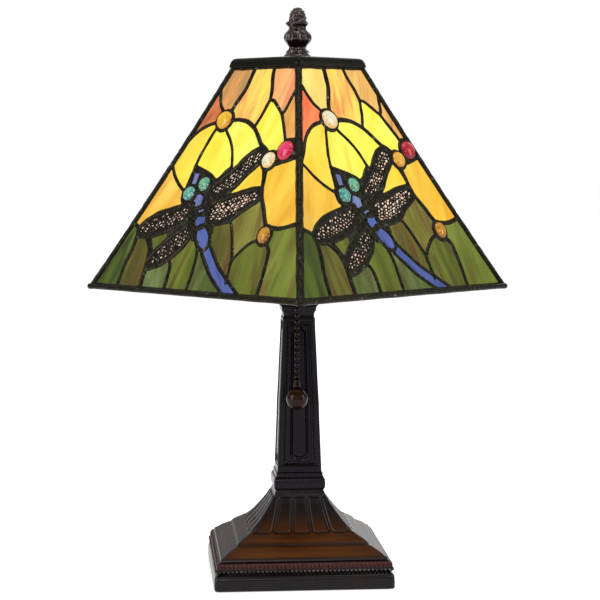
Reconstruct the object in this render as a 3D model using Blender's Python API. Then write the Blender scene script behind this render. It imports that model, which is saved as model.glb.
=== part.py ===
"""Stained glass table lamp: square cast foot and column, harp, pull-chain socket, and a four-panel
dragonfly shade held by a cap and finial. Metres, +Z up, origin at the centre of the underside.
The foot is square to X and Y and the lamp's front faces -Y."""

import math

import bmesh
import bpy
from mathutils import Matrix, Vector

MM = 0.001
GAP = 0.3 * MM  # between pieces that touch

# Foot and column, all square in plan: (half width, height) from the bottom up
PAD_HALF, PAD_TOP = 56.5 * MM, 1.2 * MM
FOOT_OUTLINE = [
    (58.5, 1.5), (59.0, 2.4), (58.8, 9.6), (57.6, 11.4), (58.0, 12.4), (57.8, 15.0), (56.4, 18.8),
    (54.6, 19.4), (54.4, 20.8), (53.3, 21.8), (50.0, 24.4), (45.4, 27.0), (43.6, 28.4), (40.4, 30.9),
    (33.2, 35.2), (28.6, 39.8), (23.9, 45.8), (20.4, 50.8), (17.2, 56.5),
]
FOOT_HOLLOW = [(54.0, 1.0), (54.0, 18.8), (42.0, 18.8), (36.0, 30.0), (25.0, 37.0), (15.0, 50.0)]
COLLAR_OUTLINE = [
    (15.6, 56.8), (15.6, 58.6), (16.4, 61.0), (16.6, 63.8), (16.4, 66.6), (14.8, 68.8), (14.6, 71.1),
]
COLUMN_OUTLINE = [(14.6, 71.4), (14.5, 75.0), (10.5, 173.5), (10.4, 175.7)]
COLUMN_PANEL_INSET, COLUMN_PANEL_DEPTH = 2.4 * MM, 0.9 * MM
CAPITAL_OUTLINE = [
    (10.5, 176.0), (10.3, 178.4), (10.9, 181.4), (11.6, 183.2), (11.6, 184.6), (13.6, 186.4),
    (15.0, 188.2), (15.0, 189.5),
]
CORNER = 1.1 * MM  # chamfer on the square castings' corners

# Threaded pipe through the middle, and what it clamps
PIPE_RADIUS, PIPE_BORE = 4.9 * MM, 3.4 * MM
PIPE_LOW, PIPE_HIGH = 3.5 * MM, 200.0 * MM
PIPE_HOLE = PIPE_RADIUS + GAP
BALLAST_HALF, BALLAST_LOW, BALLAST_HIGH = 47.0 * MM, 11.5 * MM, 18.5 * MM

# Cord inlet in the foot's rear face
INLET_Z, INLET_HOLE = 6.4 * MM, 3.7 * MM

# Harp
LEG_X, LEG_LOW, LEG_STRAIGHT = 27.0 * MM, 204.3 * MM, 226.0 * MM
HARP_WIRE = 1.5 * MM
HARP_ROUTE = [(30.5, 242), (33.0, 264), (33.2, 286), (29.5, 308), (21.0, 326), (10.0, 337.5), (0.0, 340)]
SADDLE_LOW, SADDLE_THICK, SADDLE_WIDE = 192.6 * MM, 1.5 * MM, 14.0 * MM
SLEEVE_LOW = 198.4 * MM

# Pull-chain switch, turned about Z from the front
CHAIN_TURN = math.radians(-5.7)
CHAIN_RADIUS = 28.2 * MM  # from the lamp's axis to the hanging chain
CHAIN_MOUTH_Z = 216.0 * MM
BEAD_RADIUS, BEAD_PITCH, LINK_RADIUS = 1.6 * MM, 4.1 * MM, 0.5 * MM
SWIVEL_Z = CHAIN_MOUTH_Z - 2 * BEAD_PITCH
HANGING_BEADS = 17
BALL_RADIUS, BALL_Z = 7.35 * MM, 123.1 * MM
LEVER_PIVOT_Y, LEVER_TIP_Y = -2.0 * MM, -13.4 * MM

# Shade: a four-sided pyramid whose faces bow in slightly, turned about Z from the foot's square
SHADE_TURN = math.radians(40.9)
SHADE_LOW, SHADE_HIGH = 195.8 * MM, 343.3 * MM
SHADE_HALF_LOW, SHADE_HALF_HIGH, SHADE_BOW = 99.3 * MM, 30.6 * MM, 1.6 * MM
GLASS_LOW, GLASS_HIGH = 198.0 * MM, 343.2 * MM
GLASS_THICK = 2.75 * MM  # measured level, so 2.5 mm through the sloping sheet
GLASS_ROWS = 6
CAME_IN, CAME_OUT = 3.0 * MM, 0.9 * MM  # how far a hip came reaches inside and outside the glass face
RIM_SECTION = 3.8 * MM
RIM_HALF = 101.6 * MM
PANEL_SIDES = ("front_left", "front_right", "rear_right", "rear_left")

# Jewels: name, across the panel, height, half width, half length
JEWELS = [
    ("amber_upper", -20.0, 308.0, 5.2, 6.2),
    ("red", 45.6, 287.8, 4.6, 5.4),
    ("amber_middle", 34.0, 281.8, 5.0, 6.0),
    ("amber_lower", 52.4, 235.0, 5.6, 6.6),
]
JEWEL_HALF_THICK = 2.6 * MM

CAP_OUTLINE = [(32.4, 343.5), (32.4, 344.4), (31.2, 347.6), (30.2, 348.8), (18.2, 350.3), (17.4, 350.7)]
CAP_SHEET = 1.2 * MM
FINIAL_OUTLINE = [
    (9.1, 351.0), (8.4, 352.4), (6.5, 354.4), (5.6, 357.7), (7.6, 360.0), (8.95, 363.0), (8.5, 365.6),
    (7.1, 367.8), (5.6, 370.0), (7.4, 373.4), (6.6, 375.2), (5.4, 377.2), (3.9, 381.4), (1.8, 383.7),
    (0.0, 384.2),
]


# ---------------------------------------------------------------- helpers

def clear_scene():
    for obj in list(bpy.data.objects):
        bpy.data.objects.remove(obj)


def make_material(name, colour, roughness, metallic=0.0, alpha=1.0):
    material = bpy.data.materials.new(name)
    material.use_nodes = True
    shader = material.node_tree.nodes["Principled BSDF"]
    shader.inputs["Base Color"].default_value = (*colour, 1.0)
    shader.inputs["Roughness"].default_value = roughness
    shader.inputs["Metallic"].default_value = metallic
    shader.inputs["Alpha"].default_value = alpha
    return material


def in_mm(points):
    return [tuple(value * MM for value in point) for point in points]


def to_object(mesh, name, material, sharp_degrees=35.0):
    """A named object made of a bmesh, facing out and shaded smooth except across its sharp edges."""
    bmesh.ops.recalc_face_normals(mesh, faces=mesh.faces)
    if mesh.calc_volume(signed=True) < 0:
        bmesh.ops.reverse_faces(mesh, faces=mesh.faces)
    data = bpy.data.meshes.new(name)
    mesh.to_mesh(data)
    mesh.free()
    data.shade_smooth()
    data.set_sharp_from_angle(angle=math.radians(sharp_degrees))
    obj = bpy.data.objects.new(name, data)
    data.materials.append(material)
    bpy.context.collection.objects.link(obj)
    return obj


def place(obj, location=(0, 0, 0), turn_z=0.0, pivot=None):
    """Turns and moves an object, then sets its origin to a point given before the turn."""
    turn = Matrix.Rotation(turn_z, 4, "Z")
    if pivot is not None:
        obj.data.transform(Matrix.Translation(-Vector(pivot)))
        location = turn @ Vector(pivot) + Vector(location)
    obj.matrix_world = Matrix.Translation(location) @ turn
    return obj


def turned(name, outline, material, segments=24, closed=False):
    """A solid of revolution about Z from (radius, z) points; closed joins the last point to the first."""
    mesh = bmesh.new()
    points = [mesh.verts.new((radius, 0.0, z)) for radius, z in outline]
    pairs = list(zip(points, points[1:]))
    if closed:
        pairs.append((points[-1], points[0]))
    edges = [mesh.edges.new(pair) for pair in pairs]
    bmesh.ops.spin(mesh, geom=points + edges, axis=(0, 0, 1), cent=(0, 0, 0), angle=math.tau, steps=segments)
    bmesh.ops.remove_doubles(mesh, verts=mesh.verts, dist=1e-6)
    return to_object(mesh, name, material)


def square_ring(mesh, half, z, corner):
    """Eight points of a square with chamfered corners, counter-clockwise."""
    near = half - corner
    plan = [
        (half, -near), (half, near), (near, half), (-near, half),
        (-half, near), (-half, -near), (-near, -half), (near, -half),
    ]
    return [mesh.verts.new((x, y, z)) for x, y in plan]


def bridge(mesh, lower, upper):
    count = len(lower)
    return [
        mesh.faces.new((lower[i], lower[(i + 1) % count], upper[(i + 1) % count], upper[i]))
        for i in range(count)
    ]


def square_loft(name, outline, material, corner=CORNER, hollow=None):
    """A solid square in plan through (half width, z) levels. A hollow is a second outline, from the
    bottom up, that makes an open-ended tube of it."""
    mesh = bmesh.new()
    rings = [square_ring(mesh, half, z, corner) for half, z in outline]
    inner = [square_ring(mesh, half, z, corner) for half, z in hollow or []]
    for lower, upper in zip(rings, rings[1:]):
        bridge(mesh, lower, upper)
    for lower, upper in zip(inner, inner[1:]):
        bridge(mesh, upper, lower)
    if inner:
        bridge(mesh, inner[0], rings[0])
        bridge(mesh, rings[-1], inner[-1])
    else:
        mesh.faces.new(list(reversed(rings[0])))
        mesh.faces.new(rings[-1])
    return to_object(mesh, name, material, sharp_degrees=20.0)


def block(name, low, high, material):
    mesh = bmesh.new()
    size = [b - a for a, b in zip(low, high)]
    centre = [(a + b) / 2 for a, b in zip(low, high)]
    bmesh.ops.create_cube(mesh, size=1.0, matrix=Matrix.Translation(centre) @ Matrix.Diagonal((*size, 1)))
    return to_object(mesh, name, material)


def cylinder(name, radius, z_low, z_high, material, segments=24):
    outline = [(0.0, z_low), (radius, z_low), (radius, z_high), (0.0, z_high)]
    return turned(name, outline, material, segments)


def tube(name, outer, inner, z_low, z_high, material, segments=24):
    outline = [(inner, z_low), (outer, z_low), (outer, z_high), (inner, z_high)]
    return turned(name, outline, material, segments, closed=True)


def cut(target, cutter):
    """Takes the cutter out of the target and hides it."""
    cutter.hide_render = True
    cutter.display_type = "WIRE"
    modifier = target.modifiers.new(cutter.name, "BOOLEAN")
    modifier.operation = "DIFFERENCE"
    modifier.solver = "EXACT"
    modifier.object = cutter
    return target


def extrude_outline(name, outline, depth, material, matrix=Matrix.Identity(4)):
    """A flat outline in X and Y extruded by depth along Z, half each way, then placed by the matrix."""
    mesh = bmesh.new()
    face = mesh.faces.new([mesh.verts.new((x, y, -depth / 2)) for x, y in outline])
    grown = bmesh.ops.extrude_face_region(mesh, geom=[face])
    moved = [item for item in grown["geom"] if isinstance(item, bmesh.types.BMVert)]
    bmesh.ops.translate(mesh, verts=moved, vec=(0, 0, depth))
    mesh.transform(matrix)
    return to_object(mesh, name, material)


def smooth_route(points, per_span=4):
    """Catmull-Rom points through a list of vectors."""
    padded = [2 * points[0] - points[1], *points, 2 * points[-1] - points[-2]]
    route = []
    for a, b, c, d in zip(padded, padded[1:], padded[2:], padded[3:]):
        for step in range(per_span):
            t = step / per_span
            near = 2 * b + (c - a) * t
            far = (2 * a - 5 * b + 4 * c - d) * t**2 + (3 * b - a - 3 * c + d) * t**3
            route.append((near + far) / 2)
    return [*route, points[-1]]


def wire(name, points, radius, material):
    curve = bpy.data.curves.new(name, "CURVE")
    curve.dimensions = "3D"
    curve.bevel_depth = radius
    curve.bevel_resolution = 2
    curve.use_fill_caps = True
    spline = curve.splines.new("POLY")
    spline.points.add(len(points) - 1)
    for target, point in zip(spline.points, points):
        target.co = (*point, 1.0)
    curve.materials.append(material)
    obj = bpy.data.objects.new(name, curve)
    bpy.context.collection.objects.link(obj)
    return obj


# ---------------------------------------------------------------- foot and column

def pipe_hole(name, z_low, z_high):
    return cylinder(name, PIPE_HOLE, z_low, z_high, MATERIALS["steel"])


def build_foot():
    block("felt_pad", (-PAD_HALF, -PAD_HALF, 0), (PAD_HALF, PAD_HALF, PAD_TOP), MATERIALS["felt"])
    foot = square_loft("foot_casting", in_mm(FOOT_OUTLINE), MATERIALS["bronze_brown"])
    cut(foot, square_loft("foot_hollow", in_mm(FOOT_HOLLOW), MATERIALS["steel"]))
    cut(foot, pipe_hole("foot_pipe_hole", 45 * MM, 60 * MM))
    inlet = cylinder("foot_inlet_hole", INLET_HOLE, 50 * MM, 65 * MM, MATERIALS["steel"], 16)
    inlet.matrix_world = inlet_matrix()
    cut(foot, inlet)


def inlet_matrix():
    """Takes a piece turned about Z to the cord inlet, pointing out of the rear face."""
    return Matrix.Translation((0, 0, INLET_Z)) @ Matrix.Rotation(-math.pi / 2, 4, "X")


def build_bushing():
    outline = [(2.3, 53.4), (3.4, 53.4), (3.4, 59.3), (4.5, 59.3), (4.5, 60.3), (3.9, 60.9), (2.3, 60.9)]
    bushing = turned("cord_bushing", in_mm(outline), MATERIALS["black_plastic"], 16, closed=True)
    bushing.matrix_world = inlet_matrix()


def build_ballast():
    size = BALLAST_HALF
    plate = block("ballast_plate", (-size, -size, BALLAST_LOW), (size, size, BALLAST_HIGH), MATERIALS["iron"])
    cut(plate, pipe_hole("ballast_hole", 5 * MM, 25 * MM))
    tube("bottom_washer", 14 * MM, PIPE_HOLE, 9.5 * MM, 11.2 * MM, MATERIALS["steel"])
    nut = cylinder("bottom_nut", 9 * MM, 4.2 * MM, 9.2 * MM, MATERIALS["brass"], 6)
    cut(nut, pipe_hole("bottom_nut_hole", 1 * MM, 12 * MM))


def build_column():
    collar = square_loft("column_collar", in_mm(COLLAR_OUTLINE), MATERIALS["bronze_dark"])
    cut(collar, pipe_hole("collar_hole", 50 * MM, 80 * MM))
    column = square_loft("column_casting", in_mm(COLUMN_OUTLINE), MATERIALS["bronze_dark"])
    recess_faces(column)
    bore = [(0, 65), (5.2, 65), (5.2, 80), (8.0, 84), (7.0, 160), (5.2, 165), (5.2, 185), (0, 185)]
    cut(column, turned("column_bore", in_mm(bore), MATERIALS["steel"]))
    capital = square_loft("column_capital", in_mm(CAPITAL_OUTLINE), MATERIALS["bronze_dark"])
    cut(capital, pipe_hole("capital_hole", 170 * MM, 195 * MM))
    tube("threaded_pipe", PIPE_RADIUS, PIPE_BORE, PIPE_LOW, PIPE_HIGH, MATERIALS["brass"], 20)
    nut = cylinder("lock_nut", 9 * MM, 189.8 * MM, 192.3 * MM, MATERIALS["brass"], 6)
    cut(nut, pipe_hole("lock_nut_hole", 185 * MM, 196 * MM))


def recess_faces(column):
    """Sinks a long panel into each of the column's four sides."""
    mesh = bmesh.new()
    mesh.from_mesh(column.data)
    long_sides = [face for face in mesh.faces if face.calc_area() > (40 * MM) ** 2]
    bmesh.ops.inset_individual(mesh, faces=long_sides, thickness=COLUMN_PANEL_INSET)
    bmesh.ops.inset_individual(mesh, faces=long_sides, thickness=0.6 * MM, depth=-COLUMN_PANEL_DEPTH)
    mesh.to_mesh(column.data)
    mesh.free()


# ---------------------------------------------------------------- harp

def build_harp():
    saddle = extrude_outline("harp_saddle", saddle_outline(), SADDLE_WIDE, MATERIALS["brass"], upright_matrix())
    cut(saddle, pipe_hole("saddle_hole", 185 * MM, 198 * MM))
    for face, y in (("front", -1.6 * MM - SADDLE_WIDE), ("rear", 1.6 * MM)):
        low = (-40 * MM, y, SLEEVE_LOW - 1 * MM)
        high = (40 * MM, y + SADDLE_WIDE, 210 * MM)
        cut(saddle, block(f"saddle_trim_{face}", low, high, MATERIALS["steel"]))
    half = [Vector((x * MM, 0, z * MM)) for x, z in HARP_ROUTE]
    right = [Vector((LEG_X, 0, LEG_LOW)), Vector((LEG_X, 0, LEG_STRAIGHT)), *half]
    left = [Vector((-point.x, 0, point.z)) for point in reversed(right[:-1])]
    route = smooth_route(right + left)
    wire("harp_loop", route, HARP_WIRE, MATERIALS["brass"])
    build_sleeves()
    outline = [(0, 341.9), (5, 341.9), (5, 346.6), (8, 346.6), (8, 349.2), (3.1, 349.2), (3.1, 364), (0, 364.6)]
    turned("harp_stud", in_mm(outline), MATERIALS["brass"])


def upright_matrix():
    """Stands an outline drawn in X and Y up, so that its Y becomes height."""
    return Matrix.Rotation(math.pi / 2, 4, "X")


def saddle_outline():
    """The saddle's strip seen from the front: a wide U with upright ends."""
    half = SADDLE_THICK / 2
    low, high = SADDLE_LOW, 204.0 * MM
    left, right = -LEG_X, LEG_X
    return [
        (left - half, low), (right + half, low), (right + half, high), (right - half, high),
        (right - half, low + SADDLE_THICK), (left + half, low + SADDLE_THICK),
        (left + half, high), (left - half, high),
    ]


def build_sleeves():
    outline = [
        (2.2, 198.4), (3.4, 198.4), (3.4, 209.0), (2.8, 210.4), (1.85, 210.4), (1.85, 205.4), (2.2, 205.0),
    ]
    for name, side in (("harp_sleeve_left", -1), ("harp_sleeve_right", 1)):
        sleeve = turned(name, in_mm(outline), MATERIALS["brass"], 16, closed=True)
        sleeve.location.x = side * LEG_X


# ---------------------------------------------------------------- socket, switch and chain

def build_socket():
    cap = [
        (5.2, 194.4), (8.0, 194.4), (8.0, 197.4), (12.0, 199.6), (16.4, 203.4), (18.2, 207.5),
        (18.2, 211.0), (17.2, 211.0), (17.2, 207.8), (15.4, 204.4), (11.4, 200.8), (5.2, 198.8),
    ]
    turned("socket_cap", in_mm(cap), MATERIALS["brass"], 28, closed=True)
    shell = tube("socket_shell", 16.9 * MM, 16.1 * MM, 208.5 * MM, 252 * MM, MATERIALS["brass"], 28)
    sleeve = tube("insulating_sleeve", 15.8 * MM, 15.0 * MM, 209 * MM, 251 * MM, MATERIALS["fibre"], 28)
    for piece in (shell, sleeve):
        cut(piece, chain_hole(f"{piece.name}_hole"))
    interior = cylinder("socket_interior", 14.5 * MM, 206.5 * MM, 223 * MM, MATERIALS["ceramic"], 28)
    slot = block("lever_slot", (-2.6 * MM, -16 * MM, 208.5 * MM), (2.6 * MM, 1 * MM, 218.7 * MM), MATERIALS["steel"])
    cut(interior, place(slot, turn_z=CHAIN_TURN))
    screw = [(6.0, 223.4), (14.2, 223.4), (14.2, 250.5), (13.4, 250.5), (13.4, 224.2), (6.0, 224.2)]
    turned("screw_shell", in_mm(screw), MATERIALS["brass"], 28, closed=True)
    cylinder("centre_contact", 4 * MM, 223.3 * MM, 225.3 * MM, MATERIALS["brass"], 16)


def chain_matrix(z=CHAIN_MOUTH_Z):
    """Takes a piece turned about Z to the chain outlet, with its +Z pointing out of the socket."""
    out = Matrix.Rotation(math.pi / 2, 4, "X")
    return Matrix.Rotation(CHAIN_TURN, 4, "Z") @ Matrix.Translation((0, 0, z)) @ out


def chain_hole(name):
    hole = cylinder(name, 3.5 * MM, 10 * MM, 30 * MM, MATERIALS["steel"], 16)
    hole.matrix_world = chain_matrix()
    return hole


def build_switch():
    guide = [(2.3, 14.8), (3.2, 14.8), (3.2, 21.5), (4.9, 26.3), (4.1, 26.3), (2.3, 21.5)]
    bell = turned("chain_guide", in_mm(guide), MATERIALS["brass"], 16, closed=True)
    bell.matrix_world = chain_matrix()
    reach = [(LEVER_TIP_Y, 1.0 * MM), (LEVER_TIP_Y, -1.0 * MM), (LEVER_PIVOT_Y, -1.6 * MM)]
    back = [(LEVER_PIVOT_Y + 1.1 * MM, -1.1 * MM), (LEVER_PIVOT_Y + 1.6 * MM, 0)]
    mirrored = [(LEVER_PIVOT_Y + 1.1 * MM, 1.1 * MM), (LEVER_PIVOT_Y, 1.6 * MM)]
    outline = [(y, CHAIN_MOUTH_Z + z) for y, z in reach + back + mirrored]
    sideways = Matrix.Rotation(math.pi / 2, 4, "Z") @ upright_matrix()
    lever = extrude_outline("switch_lever", outline, 3.6 * MM, MATERIALS["steel"], sideways)
    place(lever, turn_z=CHAIN_TURN, pivot=(0, LEVER_PIVOT_Y, CHAIN_MOUTH_Z))


def bead_outline(count, top_z):
    """A run of ball-chain beads joined by links, from its top end down to its bottom end."""
    outline = [(0.0, top_z + BEAD_RADIUS)]
    for index in range(count):
        z = top_z - index * BEAD_PITCH
        for angle in (65, 25, -25, -65):
            turn = math.radians(angle)
            outline.append((max(BEAD_RADIUS * math.cos(turn), LINK_RADIUS), z + BEAD_RADIUS * math.sin(turn)))
    outline.append((0.0, top_z - (count - 1) * BEAD_PITCH - BEAD_RADIUS))
    return outline


def hang(name, outline, material, pivot_z, segments=8):
    """A piece turned about the hanging chain's line, with its origin at the given height on it."""
    piece = turned(name, outline, material, segments)
    piece.data.transform(Matrix.Translation((0, -CHAIN_RADIUS, 0)))
    return place(piece, turn_z=CHAIN_TURN, pivot=(0, -CHAIN_RADIUS, pivot_z))


def build_chain():
    hang("chain_end", bead_outline(2, CHAIN_MOUTH_Z), MATERIALS["brass"], CHAIN_MOUTH_Z)
    hang("chain_swivel", bead_outline(1, SWIVEL_Z), MATERIALS["brass"], SWIVEL_Z)
    first = SWIVEL_Z - BEAD_PITCH
    hang("pull_chain", bead_outline(HANGING_BEADS, first), MATERIALS["brass"], SWIVEL_Z)
    top = BALL_Z + BALL_RADIUS + GAP
    coupling = [(0.0, 5.7), (1.3, 5.6), (2.2, 4.4), (2.2, 1.0), (2.9, 0.0), (0.0, 0.0)]
    outline = [(radius * MM, top + z * MM) for radius, z in coupling]
    hang("chain_coupling", outline, MATERIALS["brass"], SWIVEL_Z, segments=12)
    arc = [math.pi / 2 - math.pi * step / 12 for step in range(13)]
    ball = [(BALL_RADIUS * math.cos(turn), BALL_Z + BALL_RADIUS * math.sin(turn)) for turn in arc]
    ball[0] = (0.0, ball[0][1])
    ball[-1] = (0.0, ball[-1][1])
    hang("pull_ball", ball, MATERIALS["dark_wood"], SWIVEL_Z, segments=20)


def build_bulb():
    glass = [
        (12.6, 249.3), (13.6, 254.0), (16.2, 262.0), (20.2, 271.0), (23.0, 279.5), (24.0, 288.0),
        (23.0, 297.0), (19.4, 304.8), (13.4, 309.8), (6.6, 312.2), (0.0, 312.8),
    ]
    wall = 0.8
    inner = [(max(radius - wall, 0.0), z - wall) for radius, z in reversed(glass[1:])]
    outline = [*glass, *inner, (glass[0][0] - wall, glass[0][1])]
    turned("bulb_glass", in_mm(outline), MATERIALS["bulb_glass"], 24, closed=True)
    cap = [
        (0, 225.6), (4.2, 225.6), (4.6, 227.2), (11.6, 229.2), (12.9, 230.4), (12.9, 246.6),
        (11.8, 249.0), (0, 249.0),
    ]
    turned("bulb_cap", in_mm(cap), MATERIALS["nickel"])
    stem = [(0, 249.3), (8.0, 249.3), (6.0, 252.0), (3.0, 258.0), (2.6, 268.0), (1.2, 274.0), (3.4, 283.0), (0, 284.0)]
    turned("bulb_stem", in_mm(stem), MATERIALS["bulb_glass"], 12)


# ---------------------------------------------------------------- shade

def shade_half(z):
    """Half the width of the shade's glass at a height: straight from rim to cap, bowed in a little."""
    t = (z - SHADE_LOW) / (SHADE_HIGH - SHADE_LOW)
    return SHADE_HALF_LOW + (SHADE_HALF_HIGH - SHADE_HALF_LOW) * t - 4 * SHADE_BOW * t * (1 - t)


def shade_slope():
    """The glass's mean lean from upright."""
    return math.atan2(SHADE_HALF_LOW - SHADE_HALF_HIGH, SHADE_HIGH - SHADE_LOW)


def panel_turn(index):
    """The panel is drawn facing -Y; this turns it to its side of the shade."""
    return SHADE_TURN - math.pi / 2 * (1 - index)


def shade_levels():
    span = GLASS_HIGH - GLASS_LOW
    return [GLASS_LOW + span * row / GLASS_ROWS for row in range(GLASS_ROWS + 1)]


def build_panel(side, index):
    mesh = bmesh.new()
    rings = []
    for z in shade_levels():
        face = shade_half(z)
        reach = face - CAME_IN - GAP
        plan = [(-reach, -face), (reach, -face), (reach, GLASS_THICK - face), (-reach, GLASS_THICK - face)]
        rings.append([mesh.verts.new((x, y, z)) for x, y in plan])
    for lower, upper in zip(rings, rings[1:]):
        bridge(mesh, lower, upper)
    mesh.faces.new(list(reversed(rings[0])))
    mesh.faces.new(rings[-1])
    panel = to_object(mesh, f"glass_panel_{side}", MATERIALS["art_glass"])
    place(panel, turn_z=panel_turn(index))
    for name, across, height, half_width, half_length in JEWELS:
        build_jewel(panel, f"jewel_{name}_{side}", index, (across, height), (half_width, half_length))


def build_jewel(panel, name, index, centre, halves):
    """An oval cabochon set square to the glass, with its hole in the panel."""
    across, height = centre[0] * MM, centre[1] * MM
    half_width, half_length = halves[0] * MM, halves[1] * MM
    depth = GLASS_THICK / 2 - shade_half(height)
    lean = Matrix.Rotation(math.pi / 2 - shade_slope(), 4, "X")
    spot = Matrix.Rotation(panel_turn(index), 4, "Z") @ Matrix.Translation((across, depth, height)) @ lean
    mesh = bmesh.new()
    bmesh.ops.create_uvsphere(mesh, u_segments=12, v_segments=6, radius=1.0)
    bmesh.ops.scale(mesh, verts=mesh.verts, vec=(half_width, half_length, JEWEL_HALF_THICK))
    colour = "red_glass" if "red" in name else "amber_glass"
    jewel = to_object(mesh, name, MATERIALS[colour], sharp_degrees=180.0)
    jewel.matrix_world = spot
    hole = bmesh.new()
    bmesh.ops.create_cone(hole, cap_ends=True, segments=12, radius1=1.0, radius2=1.0, depth=20 * MM)
    bmesh.ops.scale(hole, verts=hole.verts, vec=(half_width + GAP, half_length + GAP, 1.0))
    cutter = to_object(hole, f"{name}_hole", MATERIALS["steel"])
    cutter.matrix_world = spot
    cut(panel, cutter)


def build_came(index):
    """The bar over the joint between two panels, at the corner to the right of its panel."""
    mesh = bmesh.new()
    rings = []
    for z in shade_levels():
        face = shade_half(z)
        low, high = face - CAME_IN, face + CAME_OUT
        soft = CAME_OUT
        plan = [(low, -low), (low, -high), (high - soft, -high), (high, soft - high), (high, -low)]
        rings.append([mesh.verts.new((x, y, z)) for x, y in plan])
    for lower, upper in zip(rings, rings[1:]):
        bridge(mesh, lower, upper)
    mesh.faces.new(list(reversed(rings[0])))
    mesh.faces.new(rings[-1])
    came = to_object(mesh, f"hip_came_{('front', 'right', 'rear', 'left')[index]}", MATERIALS["lead"])
    place(came, turn_z=panel_turn(index))


def build_shade():
    for index, side in enumerate(PANEL_SIDES):
        build_panel(side, index)
        build_came(index)
    build_rim()
    ring_low, ring_high = 338.4 * MM, 343.1 * MM
    outer = [(shade_half(z) - CAME_IN - 0.4 * MM, z) for z in (ring_low, ring_high)]
    inner = [(half - 1.5 * MM, z) for half, z in outer]
    ring = square_loft("top_ring", outer, MATERIALS["lead"], corner=0.5 * MM, hollow=inner)
    place(ring, turn_z=SHADE_TURN)


def build_rim():
    """The square channel along the shade's lower edge, eight-sided in section."""
    half, soft = RIM_SECTION / 2, RIM_SECTION / 4
    middle = RIM_HALF - half
    section = [
        (half, -soft), (half, soft), (soft, half), (-soft, half),
        (-half, soft), (-half, -soft), (-soft, -half), (soft, -half),
    ]
    mesh = bmesh.new()
    rings = [square_ring(mesh, middle + out, SHADE_LOW + up, 1.0 * MM) for out, up in section]
    for lower, upper in zip(rings, rings[1:] + rings[:1]):
        bridge(mesh, lower, upper)
    place(to_object(mesh, "bottom_rim", MATERIALS["lead"], sharp_degrees=50.0), turn_z=SHADE_TURN)


def build_cap():
    outline = in_mm(CAP_OUTLINE)
    cap = square_loft("vase_cap", outline, MATERIALS["bronze_green"])
    inner = [(half - CAP_SHEET, z - CAP_SHEET) for half, z in outline]
    cut(cap, square_loft("cap_hollow", inner, MATERIALS["steel"]))
    cut(cap, cylinder("cap_hole", 3.5 * MM, 345 * MM, 355 * MM, MATERIALS["steel"], 20))
    for piece in (cap, bpy.data.objects["cap_hollow"]):
        place(piece, turn_z=SHADE_TURN)
    bore = [(0, 366), (3.4, 365), (3.4, 351)]
    turned("finial", in_mm(bore + FINIAL_OUTLINE), MATERIALS["bronze_dark"], 24)


# ---------------------------------------------------------------- the lamp

clear_scene()
MATERIALS = {
    "felt": make_material("felt", (0.03, 0.06, 0.035), 0.95),
    "bronze_dark": make_material("bronze_dark", (0.035, 0.024, 0.022), 0.38, 0.75),
    "bronze_brown": make_material("bronze_brown", (0.11, 0.045, 0.02), 0.42, 0.65),
    "bronze_green": make_material("bronze_green", (0.05, 0.055, 0.045), 0.4, 0.8),
    "iron": make_material("iron", (0.09, 0.09, 0.09), 0.7, 0.7),
    "steel": make_material("steel", (0.5, 0.5, 0.5), 0.35, 1.0),
    "brass": make_material("brass", (0.62, 0.42, 0.16), 0.32, 1.0),
    "nickel": make_material("nickel", (0.62, 0.62, 0.6), 0.3, 1.0),
    "black_plastic": make_material("black_plastic", (0.02, 0.02, 0.02), 0.5),
    "fibre": make_material("fibre", (0.16, 0.15, 0.13), 0.85),
    "ceramic": make_material("ceramic", (0.75, 0.73, 0.68), 0.3),
    "dark_wood": make_material("dark_wood", (0.09, 0.03, 0.018), 0.22),
    "bulb_glass": make_material("bulb_glass", (0.95, 0.93, 0.88), 0.25, alpha=0.5),
    "art_glass": make_material("art_glass", (0.85, 0.52, 0.16), 0.2, alpha=0.85),
    "amber_glass": make_material("amber_glass", (0.9, 0.42, 0.05), 0.1),
    "red_glass": make_material("red_glass", (0.6, 0.02, 0.015), 0.1),
    "lead": make_material("lead", (0.045, 0.035, 0.03), 0.45, 0.8),
}
build_foot()
build_bushing()
build_ballast()
build_column()
build_harp()
build_socket()
build_switch()
build_chain()
build_bulb()
build_shade()
build_cap()
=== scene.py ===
"""A square stained glass table lamp: the detailed visual model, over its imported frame."""

import math
import random

import bpy
import numpy as np
from mathutils import Matrix, Vector, geometry


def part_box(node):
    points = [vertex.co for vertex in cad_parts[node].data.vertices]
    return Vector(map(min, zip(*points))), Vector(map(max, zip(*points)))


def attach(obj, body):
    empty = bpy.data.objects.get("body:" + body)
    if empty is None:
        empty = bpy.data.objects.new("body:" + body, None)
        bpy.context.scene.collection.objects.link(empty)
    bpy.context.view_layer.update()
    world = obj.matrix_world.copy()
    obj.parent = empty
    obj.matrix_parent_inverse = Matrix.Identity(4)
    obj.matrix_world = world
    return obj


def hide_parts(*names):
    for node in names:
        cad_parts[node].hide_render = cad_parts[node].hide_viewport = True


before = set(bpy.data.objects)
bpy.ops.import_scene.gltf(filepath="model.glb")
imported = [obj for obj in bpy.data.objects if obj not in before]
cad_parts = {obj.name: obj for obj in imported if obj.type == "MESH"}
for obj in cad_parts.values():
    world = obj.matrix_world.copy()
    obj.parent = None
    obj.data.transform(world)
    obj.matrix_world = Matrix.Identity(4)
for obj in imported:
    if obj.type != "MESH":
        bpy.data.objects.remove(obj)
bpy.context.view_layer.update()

MM = 0.001
TAU = 2 * math.pi

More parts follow.
